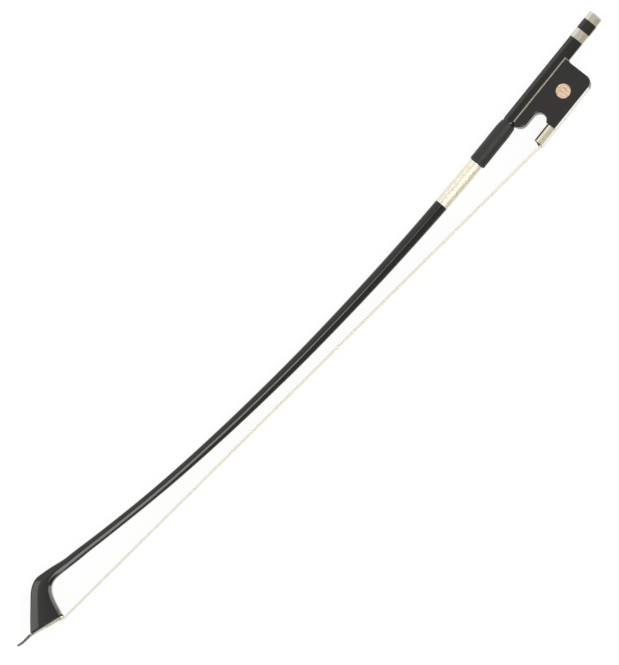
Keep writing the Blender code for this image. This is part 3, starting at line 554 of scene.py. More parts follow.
def stacked(name, stations, sides, turn=0.0):
    """A disc at the first (place, radius) station along x, extruded and scaled through the others."""
    place, radius = stations[0]
    bpy.ops.mesh.primitive_circle_add(
        vertices=sides,
        radius=radius * MM,
        fill_type="NGON",
        location=(place * MM, 0.0, 0.0),
        rotation=(0.0, math.pi / 2.0, 0.0),
    )
    thing = settled(named(name))
    bpy.ops.object.mode_set(mode="EDIT")
    bpy.ops.mesh.select_all(action="SELECT")
    if turn:
        bpy.ops.transform.rotate(value=turn, orient_axis="X", center_override=(place * MM, 0.0, 0.0))
    for next_place, next_radius in stations[1:]:
        step = ((next_place - place) * MM, 0.0, 0.0)
        bpy.ops.mesh.extrude_region_move(TRANSFORM_OT_translate={"value": step})
        share = next_radius / radius
        bpy.ops.transform.resize(value=(1.0, share, share), center_override=(next_place * MM, 0.0, 0.0))
        place, radius = next_place, next_radius
    welded()
    bpy.ops.object.mode_set(mode="OBJECT")
    return thing


def rod(name, start, end, radius, sides, turn=0.0):
    """A straight rod along the handle."""
    return stacked(name, [(start, radius), (end, radius)], sides, turn)


def octagonal(name, flats, start, end):
    """An eight-sided rod along the handle, flats to the cheeks and to the hair."""
    return rod(name, start, end, flats / 2.0 / math.cos(math.pi / 8.0), 8, math.pi / 8.0)


def box_solid(name, low, high):
    """A box between two corners."""
    bpy.ops.mesh.primitive_cube_add(size=1.0, location=[(a + b) / 2.0 * MM for a, b in zip(low, high)])
    thing = named(name)
    thing.scale = [(b - a) * MM for a, b in zip(low, high)]
    return settled(thing)


def lofted(name, rings):
    """A closed skin through rings of equal counts, for a form between unlike sections."""
    mesh = bpy.data.meshes.new(name)
    shape = bmesh.new()
    rows = [[shape.verts.new(Vector(point) * MM) for point in ring] for ring in rings]
    for near, far in zip(rows, rows[1:]):
        for k in range(len(near)):
            shape.faces.new((near[k - 1], near[k], far[k], far[k - 1]))
    shape.faces.new(rows[0])
    shape.faces.new(rows[-1])
    bmesh.ops.recalc_face_normals(shape, faces=shape.faces)
    shape.to_mesh(mesh)
    shape.free()
    return only(added(name, mesh))


def between(stations, x):
    """Smooth value at x through (x, value) stations, by a cubic Hermite curve."""
    last = len(stations) - 1
    k = 0
    while k < last - 1 and x > stations[k + 1][0]:
        k += 1
    x0, y0 = stations[k]
    x1, y1 = stations[k + 1]

    def slope(i):
        """Slope at a station, from the stations on its two sides."""
        low, high = max(i - 1, 0), min(i + 1, last)
        return (stations[high][1] - stations[low][1]) / (stations[high][0] - stations[low][0])

    span = x1 - x0
    t = (x - x0) / span
    return (
        y0 * (2 * t**3 - 3 * t**2 + 1)
        + slope(k) * span * (t**3 - 2 * t**2 + t)
        + y1 * (3 * t**2 - 2 * t**3)
        + slope(k + 1) * span * (t**3 - t**2)
    )


def eased(t, before, here, there, after):
    """A station a share of the way from here to there, on a smooth curve through all four."""
    return tuple(
        b + 0.5 * t * (c - a + t * (2 * a - 5 * b + 4 * c - d + t * (3 * (b - c) + d - a)))
        for a, b, c, d in zip(before, here, there, after)
    )


def smoothed(stations, steps):
    """Stations of numbers with others put between them on a smooth curve through them."""
    made = []
    for k in range(len(stations) - 1):
        four = (stations[max(k - 1, 0)], *stations[k:k + 2], stations[min(k + 2, len(stations) - 1)])
        made += [eased(step / steps, *four) for step in range(steps)]
    return made + [stations[-1]]


def connect(tree, node, inputs):
    """Gives a node's inputs their values, or links them to the outputs of other nodes."""
    for name, source in inputs.items():
        if isinstance(source, bpy.types.NodeSocket):
            tree.links.new(source, node.inputs[name])
        else:
            node.inputs[name].default_value = source


def add_node(tree, kind, inputs=None, stops=(), **settings):
    """Adds a node with its settings, its inputs and a ramp's (value, colour) stops, for its outputs."""
    node = tree.nodes.new(kind)
    for name, value in settings.items():
        setattr(node, name, value)
    connect(tree, node, inputs or {})
    if stops:
        elements = node.color_ramp.elements
        elements[0].position, elements[0].color = stops[0][0], (*stops[0][1], 1.0)
        elements[1].position, elements[1].color = stops[-1][0], (*stops[-1][1], 1.0)
        for place, shade in stops[1:-1]:
            elements.new(place).color = (*shade, 1.0)
    return node.outputs


def tinted(shade, share):
    """A colour made lighter or darker by a share."""
    return tuple(min(1.0, channel * share) for channel in shade)


def new_material(name):
    """A material with its Principled shader, and the object's coordinates."""
    material = bpy.data.materials.new(name)
    material.use_nodes = True
    tree = material.node_tree
    place = add_node(tree, "ShaderNodeTexCoord")["Object"]
    return material, tree, tree.nodes["Principled BSDF"], place


def polished_wood(name, shade, light, pore, roughness, relief):
    """Close-grained wood, sanded and polished: long thin pores, and slow streaks of colour along them."""
    material, tree, shader, place = new_material(name)
    inputs = {"Vector": place, "Rotation": (0.0, 0.0, -HANDLE_TILT * 0.5), "Scale": (0.035, 1.0, 1.0)}
    along = add_node(tree, "ShaderNodeMapping", inputs)["Vector"]
    inputs = {"Vector": along, "Scale": 1.0 / (WOOD_STREAK * pore), "Detail": 5.0, "Roughness": 0.6}
    streaks = add_node(tree, "ShaderNodeTexNoise", inputs)["Fac"]
    stops = ((0.32, shade), (0.58, tinted(light, 0.6)), (0.75, light))
    tone = add_node(tree, "ShaderNodeValToRGB", {"Fac": streaks}, stops)["Color"]
    inputs = {"Vector": along, "Scale": 1.0 / pore, "Detail": 3.0, "Roughness": 0.7}
    pores = add_node(tree, "ShaderNodeTexNoise", inputs)["Fac"]
    ends = {"From Min": 0.3, "From Max": 0.7, "To Min": roughness * 0.75, "To Max": roughness * 1.35}
    rough = add_node(tree, "ShaderNodeMapRange", {"Value": pores, **ends})["Result"]
    inputs = {"Height": pores, "Distance": PORE_DEPTH * MM, "Strength": relief}
    normal = add_node(tree, "ShaderNodeBump", inputs)["Normal"]
    connect(tree, shader, {"Base Color": tone, "Roughness": rough, "Normal": normal})
    return material


def overlaid(material, share, shade):
    """Turns a material's colour into another where a share of its tree says."""
    tree = material.node_tree
    base = tree.nodes["Principled BSDF"].inputs["Base Color"]
    inputs = {"Factor": share, COLOUR_A: base.links[0].from_socket, COLOUR_B: (*shade, 1.0)}
    tree.links.new(add_node(tree, "ShaderNodeMix", inputs, data_type="RGBA")[COLOUR_RESULT], base)
    return material


def black_lacquered_wood():
    """Dyed close wood under clear lacquer: near black with a wet gloss, worn brown where the hair rubs it."""
    shade = colours().lacquer
    wood = polished_wood("black_lacquered_wood", shade, tinted(shade, 1.9), sizes().wood_pore, 0.09, 0.08)
    tree = wood.node_tree
    place = tree.nodes["Texture Coordinate"].outputs["Object"]
    corner = PLATE @ Vector((WORN_CORNER[0] * MM, WORN_CORNER[1] * MM, 0.0))
    away = add_node(tree, "ShaderNodeVectorMath", {0: place, 1: corner}, operation="DISTANCE")["Value"]
    inputs = {"Value": away, "From Min": 7.0 * MM, "From Max": 5.0 * MM}
    return overlaid(wood, add_node(tree, "ShaderNodeMapRange", inputs)["Result"], colours().bare_wood)


def polished_ebony():
    """Ebony rubbed to a satin polish: blacker than the stick, with hardly any figure."""
    shade = colours().ebony
    return polished_wood("polished_ebony", shade, tinted(shade, 1.8), sizes().wood_pore * 0.8, 0.26, 0.15)


def bare_maple():
    """Split maple left from the knife: pale and dull."""
    shade = colours().maple
    return polished_wood("bare_maple", tinted(shade, 0.8), shade, sizes().wood_pore * 1.5, 0.7, 0.4)


def oiled_walnut():
    """Carved hardwood with oil on it: brown, with darker pores."""
    shade = colours().walnut
    return polished_wood("oiled_walnut", tinted(shade, 0.6), shade, sizes().wood_pore * 1.2, 0.5, 0.35)


def metal(name, shade, stained, roughness, stretch):
    """Rolled metal, filed and polished: soft brush lines, and a slow stain that dulls it in places."""
    material, tree, shader, place = new_material(name)
    inputs = {"Vector": place, "Scale": 1.0 / STAIN_PATCH / MM, "Detail": 5.0, "Roughness": 0.65}
    stain = add_node(tree, "ShaderNodeTexNoise", inputs)["Fac"]
    stops = ((0.35, shade), (0.62, tinted(shade, 0.93)), (0.8, stained))
    tone = add_node(tree, "ShaderNodeValToRGB", {"Fac": stain}, stops)["Color"]
    ends = {"From Min": 0.3, "From Max": 0.75, "To Min": roughness * 0.7, "To Max": roughness * 1.6}
    rough = add_node(tree, "ShaderNodeMapRange", {"Value": stain, **ends})["Result"]
    drawn = add_node(tree, "ShaderNodeMapping", {"Vector": place, "Scale": stretch})["Vector"]
    inputs = {"Vector": drawn, "Scale": 1.0 / sizes().silver_brush, "Detail": 2.0, "Roughness": 0.6}
    lines = add_node(tree, "ShaderNodeTexNoise", inputs)["Fac"]
    inputs = {"Height": lines, "Distance": BRUSH_DEPTH * MM, "Strength": 0.1}
    normal = add_node(tree, "ShaderNodeBump", inputs)["Normal"]
    connect(tree, shader, {"Metallic": 1.0, "Base Color": tone, "Roughness": rough, "Normal": normal})
    return material


def polished_silver():
    """Sterling sheet, polished by hand: bright, a little warm, with faint lines along the bow."""
    return metal("polished_silver", colours().silver, colours().tarnish, 0.17, ALONG_BOW)


def yellow_tinted_silver():
    """The same sheet, bright still, with more yellow in it all over."""
    red, green, blue = tinted(colours().silver, 1.08)
    return metal("yellow_tinted_silver", (red, green, blue * 0.9), colours().tarnish, 0.17, ALONG_BOW)


def tarnished_silver():
    """Thin silver that wears against wood: grey, and dull."""
    shade = tinted(colours().nickel, 0.6)
    return metal("tarnished_silver", shade, tinted(shade, 0.6), 0.3, ALONG_BOW)


def drawn_silver_wire():
    """Silver wire pulled through a die: whiter than the sheet, with the soft sheen that close turns give."""
    shade = colours().wire
    wire = metal("drawn_silver_wire", shade, tinted(shade, 0.9), 0.4, ROUND_BOW)
    wire.node_tree.nodes["Principled BSDF"].inputs["Metallic"].default_value = 0.95
    return wire


def filed_nickel_silver():
    """Nickel silver, filed and left to dull: yellow where it has aged, and darker out on the beak."""
    nickel = metal("filed_nickel_silver", colours().nickel, colours().tarnish, 0.24, ALONG_BOW)
    tree = nickel.node_tree
    place = tree.nodes["Texture Coordinate"].outputs["Object"]
    # The plate goes over to a darker colour from a few millimetres before the beak, and is darkest over the
    # whole beak.
    along = add_node(tree, "ShaderNodeSeparateXYZ", {"Vector": place})["X"]
    beak = (PLATE @ Vector((BEAK[0][0] * MM, 0.0, 0.0))).x
    inputs = {"Value": along, "From Min": beak - 6.0 * MM, "From Max": beak + 1.5 * MM}
    return overlaid(nickel, add_node(tree, "ShaderNodeMapRange", inputs)["Result"], colours().beak_dark)


def machined_brass():
    """Turned brass, left bright from the lathe."""
    return metal("machined_brass", colours().brass, tinted(colours().brass, 0.6), 0.3, UP_BOW)


def bright_steel():
    """Cut steel, oiled: grey, with fine lines round it."""
    return metal("bright_steel", colours().steel, tinted(colours().steel, 0.6), 0.28, ROUND_BOW)


def dyed_leather():
    """Thin goatskin, dyed black and glazed: small pebbles with creases between, smoother where it is held."""
    material, tree, shader, place = new_material("dyed_leather")
    inputs = {"Vector": place, "Scale": 1.0 / PEBBLE_WARP / MM, "Detail": 2.0}
    warp = add_node(tree, "ShaderNodeTexNoise", inputs)["Color"]
    inputs = {"Factor": 0.0006, VECTOR_A: place, VECTOR_B: warp}
    bent = add_node(tree, "ShaderNodeMix", inputs, data_type="VECTOR")[VECTOR_RESULT]
    inputs = {"Vector": bent, "Scale": 1.0 / sizes().leather_grain, "Randomness": 0.9}
    pebbles = add_node(tree, "ShaderNodeTexVoronoi", inputs, feature="SMOOTH_F1")["Distance"]
    shade = colours().leather
    # Painted shade: the colour goes darker into the low creases between the pebbles, to under half, and a
    # little lighter on their tops.
    stops = ((0.15, tinted(shade, 1.25)), (0.55, shade), (0.85, tinted(shade, 0.45)))
    tone = add_node(tree, "ShaderNodeValToRGB", {"Fac": pebbles}, stops)["Color"]
    inputs = {"Vector": place, "Scale": 1.0 / HELD_PATCH / MM, "Detail": 3.0}
    held = add_node(tree, "ShaderNodeTexNoise", inputs)["Fac"]
    inputs = {"Value": held, "From Min": 0.35, "From Max": 0.65, "To Min": 0.38, "To Max": 0.6}
    rough = add_node(tree, "ShaderNodeMapRange", inputs)["Result"]
    raised = add_node(tree, "ShaderNodeMath", {0: 1.0, 1: pebbles}, operation="SUBTRACT", use_clamp=True)
    inputs = {"Height": raised["Value"], "Distance": PEBBLE_DEPTH * MM, "Strength": 0.8}
    normal = add_node(tree, "ShaderNodeBump", inputs)["Normal"]
    connect(tree, shader, {"Base Color": tone, "Roughness": rough, "Normal": normal})
    return material


def bleached_horsehair():
    """Combed white horsehair: each hair has its own shade of cream, with streaks of rosin dust."""
    material, tree, shader, place = new_material("bleached_horsehair")
    own = add_node(tree, "ShaderNodeAttribute", attribute_name="tone")["Fac"]
    hair = colours().hair
    stops = ((0.0, colours().rosin), (0.35, tinted(hair, 0.9)), (1.0, tinted(hair, 1.08)))
    shades = add_node(tree, "ShaderNodeValToRGB", {"Fac": own}, stops)["Color"]
    drawn = add_node(tree, "ShaderNodeMapping", {"Vector": place, "Scale": (0.02, 1.0, 1.0)})["Vector"]
    inputs = {"Vector": drawn, "Scale": 1.0 / ROSIN_STREAK / MM, "Detail": 3.0}
    dust = add_node(tree, "ShaderNodeTexNoise", inputs)["Fac"]
    inputs = {"Factor": 0.12, COLOUR_A: shades, COLOUR_B: dust}
    dusted = add_node(tree, "ShaderNodeMix", inputs, data_type="RGBA", blend_type="MULTIPLY")
    inputs = {"Base Color": dusted[COLOUR_RESULT], "Roughness": 0.42, "Specular IOR Level": 0.45}
    connect(tree, shader, inputs)
    return material


def pearl_sheet(name, shade, warm, cool):
    """Sawn and polished shell: its layers curl across it in bands of colour, under a deep gloss."""
    material, tree, shader, place = new_material(name)
    inputs = {"Vector": place, "Scale": 1.0 / SHELL_SWIRL / MM, "Detail": 3.0, "Roughness": 0.55}
    swirl = add_node(tree, "ShaderNodeTexNoise", inputs)["Color"]
    inputs = {"Factor": 0.012, VECTOR_A: place, VECTOR_B: swirl}
    bent = add_node(tree, "ShaderNodeMix", inputs, data_type="VECTOR")[VECTOR_RESULT]
    curl = {"Distortion": 4.0, "Detail": 3.0, "Detail Scale": 1.6}
    inputs = {"Vector": bent, "Scale": 0.32 / sizes().pearl_layer, **curl}
    layers = add_node(tree, "ShaderNodeTexWave", inputs, bands_direction="DIAGONAL")["Fac"]
    stops = ((0.0, warm), (0.3, shade), (0.75, tinted(shade, 1.05)), (1.0, cool))
    tone = add_node(tree, "ShaderNodeValToRGB", {"Fac": layers}, stops)["Color"]
    inputs = {"Height": layers, "Distance": SHELL_DEPTH * MM, "Strength": 0.2}
    normal = add_node(tree, "ShaderNodeBump", inputs)["Normal"]
    gloss = {"Roughness": 0.22, "Coat Weight": 0.8, "Coat Roughness": 0.05}
    connect(tree, shader, {"Base Color": tone, "Normal": normal, **gloss})
    return material


def mother_of_pearl():
    """White shell: silvery cream, with soft pink and green bands."""
    return pearl_sheet("mother_of_pearl", colours().pearl, colours().pearl_warm, colours().pearl_cool)


def rose_mother_of_pearl():
    """Rose-coloured shell: warm cream, with brown bands."""
    return pearl_sheet("rose_mother_of_pearl", colours().rose, colours().rose_warm, colours().rose_cool)


def vulcanised_fibre():
    """Pressed black fibre, filed flush: dull, with a little fleck."""
    material, tree, shader, place = new_material("vulcanised_fibre")
    inputs = {"Vector": place, "Scale": 1.0 / FIBRE_FLECK / MM, "Detail": 2.0}
    fleck = add_node(tree, "ShaderNodeTexNoise", inputs)["Fac"]
    stops = ((0.3, colours().fibre), (0.8, tinted(colours().fibre, 1.8)))
    tone = add_node(tree, "ShaderNodeValToRGB", {"Fac": fleck}, stops)["Color"]
    inputs = {"Height": fleck, "Distance": FLECK_DEPTH * MM, "Strength": 0.3}
    normal = add_node(tree, "ShaderNodeBump", inputs)["Normal"]
    connect(tree, shader, {"Base Color": tone, "Roughness": 0.55, "Normal": normal})
    return material


MATERIALS = {}


def finish_of(maker):
    """The material that a maker function gives, made once."""
    if maker.__name__ not in MATERIALS:
        MATERIALS[maker.__name__] = maker()
    return MATERIALS[maker.__name__]


def handle_x(station):
    """Place along the bow of a station on the handle."""
    return BUTTON_END.x / MM + station * math.cos(HANDLE_TILT)


def centre_y(x):
    """The stick's centre line at a place along the bow."""
    slope = math.tan(HANDLE_TILT)
    straight = BUTTON_END.y / MM + (x - BUTTON_END.x / MM) * slope
    bend = handle_x(BEND_START)
    if x <= bend:
        return straight
    lead_in = [bend - LEAD_IN * k for k in (2, 1, 0)]
    stations = [(place, straight + (place - x) * slope) for place in lead_in]
    stations += [(place, HAIR_LINE - drop) for place, drop in CAMBER]
    return between(stations, x)


def across_stick(x):
    """Centre of the stick at a place along the bow, and the way across it to the hair."""
    step = 0.5
    along = Vector((2.0 * step, centre_y(x + step) - centre_y(x - step), 0.0)).normalized()
    return Vector((x, centre_y(x), 0.0)), Vector((-along.y, along.x, 0.0))


def round_station(x, radius):
    """A round section of the stick, written as a head station is."""
    centre, side = across_stick(x)
    inner, outer = centre + side * radius, centre - side * radius
    return (inner.x, inner.y, outer.x, outer.y, radius, 0.0)


def carved_point(share, chamfer):
    """Depth and width of a carved head section at a share of the way round one cheek."""
    k = share * (len(HEAD_SECTION) - 1)
    section = list(HEAD_SECTION)
    section[CHEEK_START] = (chamfer, 1.0)
    low = min(int(k), len(section) - 2)
    t = k - low
    here, there = section[low], section[low + 1]
    if low < CHEEK_START:
        return here[0] + (there[0] - here[0]) * t, here[1] + (there[1] - here[1]) * t
    before = section[low - 1] if low > CHEEK_START else here
    after = section[low + 2] if low + 2 < len(section) else (section[-2][0], -section[-2][1])
    return eased(t, before, here, there, after)


def stick_ring(station):
    """Points round a section of the stick or of the head."""
    inner, outer = Vector(station[0:2]), Vector(station[2:4])
    half, morph = station[4:6]
    chamfer = HEAD_CHAMFER / (outer - inner).length
    ring = []
    for k in range(STICK_SIDES):
        share = k / (STICK_SIDES / 2.0)
        side = 1.0 if share <= 1.0 else -1.0
        share = min(share, 2.0 - share)
        u, w = carved_point(share, chamfer)
        u = (1.0 - morph) * (0.5 - 0.5 * math.cos(math.pi * share)) + morph * u
        w = (1.0 - morph) * math.sin(math.pi * share) + morph * w
        place = inner.lerp(outer, u)
        ring.append((place.x, place.y, side * w * half))
    return ring


def plate_point(s, h):
    """A point of the plate's frame in the bow's x and y."""
    return (
        PLATE_REAR[0] + s * math.cos(PLATE_TILT) + h * math.sin(PLATE_TILT),
        PLATE_REAR[1] - s * math.sin(PLATE_TILT) + h * math.cos(PLATE_TILT),
    )


def face_half(s):
    """Half width of the head's face at a place along it."""
    if s <= HEAD_CHAMFER:
        return FACE_HALF * (FACE_CORNER + (1.0 - FACE_CORNER) * s / HEAD_CHAMFER)
    chamfer = HEAD_CHAMFER / FACE_LENGTH
    low, high = CHEEK_START / (len(HEAD_SECTION) - 1), 1.0
    for _ in range(24):
        middle = (low + high) / 2.0
        if carved_point(middle, chamfer)[0] * FACE_LENGTH < s:
            low = middle
        else:
            high = middle
    return FACE_HALF * carved_point(low, chamfer)[1]


class BOW_OT_stick(bpy.types.Operator):
    """Models the stick: planed octagonal at the handle, turned and bent beyond it, with its carved head"""

    bl_idname = "bow.stick"
    bl_label = "Stick"

    def execute(self, context):
        winding = handle_box("winding")
        first, last = winding[0].x - WINDING_MARGIN, winding[1].x + WINDING_MARGIN
        profile = [NIPPLE, (STICK_END, NIPPLE[1])]
        profile += [(place, HANDLE_EDGE) for place in (STICK_END, FLATS_MIDDLE, OCTAGON_END)]
        for step in range(1, RUN_OUT_STEPS + 1):
            t = step / RUN_OUT_STEPS
            fall = (HANDLE_EDGE - HANDLE_ROUND) * t * t * (3.0 - 2.0 * t)
            profile.append((OCTAGON_END + (ROUND_START - OCTAGON_END) * t, HANDLE_EDGE - fall))
        profile += [(BEND_START, HANDLE_ROUND), (first, HANDLE_ROUND), (first, WINDING_SEAT)]
        profile += [(first + (last - first) * k / 4.0, WINDING_SEAT) for k in range(1, 4)]
        profile += [(last, WINDING_SEAT), (last, between(TAPER, handle_x(last)))]
        stations = [round_station(handle_x(place), radius) for place, radius in profile]
        start, end, count = SHAFT
        shaft = [start + (end - start) * k / count for k in range(count + 1)]
        stations += [round_station(x, between(TAPER, x)) for x in shaft[:-2]]
        head = [round_station(x, between(TAPER, x)) for x in shaft[-2:]]
        face = plate_point(0.0, -FACE_DEPTH) + plate_point(FACE_LENGTH, -FACE_DEPTH) + (FACE_HALF, 1.0)
        stations += smoothed(head + HEAD_STATIONS + [face], 6)
        stick = lofted("bow_stick", [stick_ring(station) for station in stations])

        def planed():
            """Planes the handle's eight flats."""
            middle = Vector((BUTTON_END.x, BUTTON_END.y, 0.0))
            turn = Matrix.Rotation(HANDLE_TILT, 3, "Z")
            for k in range(8):
                pick("FACE", self.on_handle)
                angle = k * math.pi / 4.0
                outward = turn @ Vector((0.0, math.cos(angle), math.sin(angle)))
                cut_off(middle + outward * HANDLE_FLAT * MM, outward)

        edited(stick, planed)
        start, end, half = HEAD_MORTISE
        pocket = box_solid("pocket", (start, -11.0, -half), (end, 2.0, half))
        pocket.data.transform(MEDIAN.inverted() @ PLATE)
        joined(stick, pocket, "DIFFERENCE")
        dressed(stick, MEDIAN, black_lacquered_wood, "stick", "black_lacquer", "stick", angle=24.0)
        return {"FINISHED"}

    @staticmethod
    def on_handle(middle):
        """Whether a face's middle, in the bow's frame, is on the part of the handle that is planed."""
        place = HANDLE.inverted() @ MEDIAN @ (middle * MM) / MM
        outside = math.hypot(place.y, place.z) > NIPPLE[1] + 0.05
        return outside and STICK_END - 0.01 < place.x < ROUND_START + 1.0


class BOW_OT_head_fittings(bpy.types.Operator):
    """Models the head plate with its beak, and the black liner under it"""

    bl_idname = "bow.head_fittings"
    bl_label = "Head fittings"

    def execute(self, context):
        places = [FACE_LENGTH * k / 30.0 for k in range(31)]
        stations = [(s, -PLATE_THICKNESS, 0.0, face_half(s)) for s in places] + smoothed(BEAK, 5)
        plate = self.strip("head_plate_silver", stations)
        rounded(plate, 0.22, 3, 50.0)
        dressed(plate, PLATE, filed_nickel_silver, "stick", "silver", "head_plate")
        liner = self.strip("head_liner_fibre", [(s, *LINER, face_half(s) + 0.05) for s in places])
        dressed(liner, PLATE, vulcanised_fibre, "stick", "black_fibre", "head_liner")
        return {"FINISHED"}

    @staticmethod
    def strip(name, stations):
        """A flat strip along the head's face with the mortise cut through it."""
        strip = lofted(name, [
            [(s, low, -half), (s, low, half), (s, high, half), (s, high, -half)]
            for s, low, high, half in stations
        ])
        start, end, half = HEAD_MORTISE
        return joined(strip, box_solid("mortise", (start, -6.0, -half), (end, 3.0, half)), "DIFFERENCE")


class BOW_OT_hair(bpy.types.Operator):
    """Models the hank of hair as single hairs over a core, from inside the ferrule to the head's mortise"""

    bl_idname = "bow.hair"
    bl_label = "Hair"

    def execute(self, context):
        path = self.hair_path()
        core = self.core(path)
        random.seed(7)
        count = sizes().strands
        lanes = []
        for layer in (-1.0, 1.0):
            for k in range(count):
                across = (k + 0.5 + random.uniform(-LANE_SPREAD, LANE_SPREAD)) / count * 2.0 - 1.0
                lanes.append((across, layer))
        for side in (-1.0, 1.0):
            lanes += [(side, layer) for layer in (-0.6, 0.0, 0.6)]
        strands = wired("strands", [self.strand(path, *lane) for lane in lanes], sizes().strand, 0)
        self.shade(strands, len(lanes))
        self.shade(core, 1)
        only(strands)
        core.select_set(True)
        bpy.context.view_layer.objects.active = core
        bpy.ops.object.join()
        nodes = ("hair_ribbon", "hair_knot_frog", "hair_knot_head")
        hair = dressed(core, MEDIAN, bleached_horsehair, None, "horsehair", *nodes, angle=60.0, flat=False)
        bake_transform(hair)
        return {"FINISHED"}

    @staticmethod
    def hair_path():
        """Centre, way out of the ribbon's face, thickness and half width, from the ferrule to the head."""
        to_bow = MEDIAN.inverted() @ HANDLE
        places = []
        for x, y, thickness, half in FROG_END:
            point = to_bow @ Vector((x * MM, y * MM, 0.0)) / MM
            places.append((point.x, point.y, thickness, half))
        for k in range(HAIR_STATIONS + 1):
            share = k / HAIR_STATIONS
            x = HAIR_X[0] + 0.6 + (HAIR_X[1] - HAIR_X[0] - 0.6) * share
            half = HAIR_HALF[0] + (HAIR_HALF[1] - HAIR_HALF[0]) * share
            places.append((x, HAIR_LINE, HAIR_THICKNESS, half))
        for s, h, thickness, half in HEAD_END:
            places.append((*plate_point(s, h), thickness, half))
        path = []
        for k, (x, y, thickness, half) in enumerate(places):
            before, after = places[max(k - 1, 0)], places[min(k + 1, len(places) - 1)]
            along = Vector((after[0] - before[0], after[1] - before[1])).normalized()
            path.append((Vector((x, y, 0.0)), Vector((-along.y, along.x, 0.0)), thickness, half))
        return path

    @staticmethod
    def core(path):
        """The body of the hank under the outer hairs."""
        rings = []
        for centre, out, thickness, half in path:
            lift = out * (thickness / 2.0 - CORE_INSET[0])
            reach = Vector((0.0, 0.0, half - CORE_INSET[1]))
            low, high = centre - lift, centre + lift
            rings.append([low - reach, low + reach, high + reach, high - reach])
        return lofted("horsehair_ribbon", rings)

    @staticmethod
    def strand(path, across, layer):
        """One hair's path, which wanders a little from its lane along the ribbon."""
        radius = sizes().strand / 2.0 / MM
        phase = random.uniform(0.0, 100.0)
        points = []
        for k, (centre, out, thickness, half) in enumerate(path):
            free = min(1.0, min(k, len(path) - 1 - k) / HELD_STATIONS)
            drift = noise.noise(Vector((phase, k * HAIR_WAVES[0], 0.0))) * HAIR_DRIFT[0] * free
            width = max(-1.0, min(1.0, across + drift / half)) * (half - radius)
            lift = noise.noise(Vector((k * HAIR_WAVES[1], phase, 1.0))) * HAIR_DRIFT[1] * free
            top = thickness / 2.0 - radius
            rise = max(-top, min(top, layer * top + lift))
            points.append((centre + out * rise + Vector((0.0, 0.0, width))) * MM)
        return points

    @staticmethod
    def shade(thing, count):
        """Gives each hair its own tone, kept with its points."""
        mesh = thing.data
        tone = mesh.attributes.new("tone", "FLOAT", "POINT")
        each = max(1, len(mesh.vertices) // count)
        tones = [random.uniform(*HAIR_TONES) for _ in range(count + 1)]
        for k in range(len(mesh.vertices)):
            tone.data[k].value = tones[min(k // each, count)] if count > 1 else CORE_TONE


class BOW_OT_winding(bpy.types.Operator):
    """Winds silver wire round the bent stick, turn against turn, with its two ends drawn straight"""

    bl_idname = "bow.winding"
    bl_label = "Winding"

    def execute(self, context):
        low, high = handle_box("winding")
        first, last = handle_x(low.x), handle_x(high.x)
        wire = sizes().wire / MM
        thickness = wire * BURNISHED
        radius = high.z - thickness / 2.0
        turns = int((last - first) / (wire * TURN_SPACE))
        count = turns * TURN_POINTS
        path = []
        for k in range(count + 1):
            angle = 2.0 * math.pi * k / TURN_POINTS
            x = first + wire / 2.0 + (last - first - wire) * k / count
            centre, side = across_stick(x)
            place = centre + side * radius * math.cos(angle)
            place.z = radius * math.sin(angle)
            path.append(place * MM)
        path.insert(0, path[0] + (path[0] - path[1]).normalized() * wire * MM)
        path.append(path[-1] + (path[-1] - path[-2]).normalized() * wire * MM)
        winding = wired("silver_wire_winding", [path], thickness * MM, 1)
        dressed(winding, MEDIAN, drawn_silver_wire, "stick", "silver", "winding", angle=80.0, flat=False)
        return {"FINISHED"}


class BOW_OT_grip(bpy.types.Operator):
    """Models the leather grip: rolled round the stick, lapped along one side, sloped down to the frog"""

    bl_idname = "bow.grip"
    bl_label = "Grip"

    def execute(self, context):
        low, high = handle_box("thumb_grip")
        stations = [(low.x + along, radius) for along, radius in GRIP_SHOULDER]
        start, radius = stations[-1]
        span = high.x - GRIP_HEM[0][0] - start
        stations += [(start + span * k / 6.0, radius) for k in range(1, 6)]
        stations += [(high.x - along, radius) for along, radius in GRIP_HEM]
        grip = stacked("leather_grip", stations, GRIP_STEPS)
        for vertex in grip.data.vertices:
            reach = math.hypot(vertex.co.y, vertex.co.z)
            if reach > (HANDLE_ROUND + 0.3) * MM:
                angle = math.atan2(vertex.co.z, vertex.co.y) % (2.0 * math.pi)
                turn = (angle / (2.0 * math.pi) + LAP_PLACE) % 1.0
                lap = max(0.0, 1.0 - turn * 5.0)
                uneven = noise.noise(vertex.co * GRIP_LUMPS) * GRIP_UNEVEN[0] - GRIP_UNEVEN[1]
                share = 1.0 - (GRIP_LAP * (1.0 - lap) * 0.4 - uneven) * MM / reach
                vertex.co.y *= share
                vertex.co.z *= share
        dressed(grip, HANDLE, dyed_leather, "stick", "black_leather", "thumb_grip", angle=50.0, flat=False)
        return {"FINISHED"}


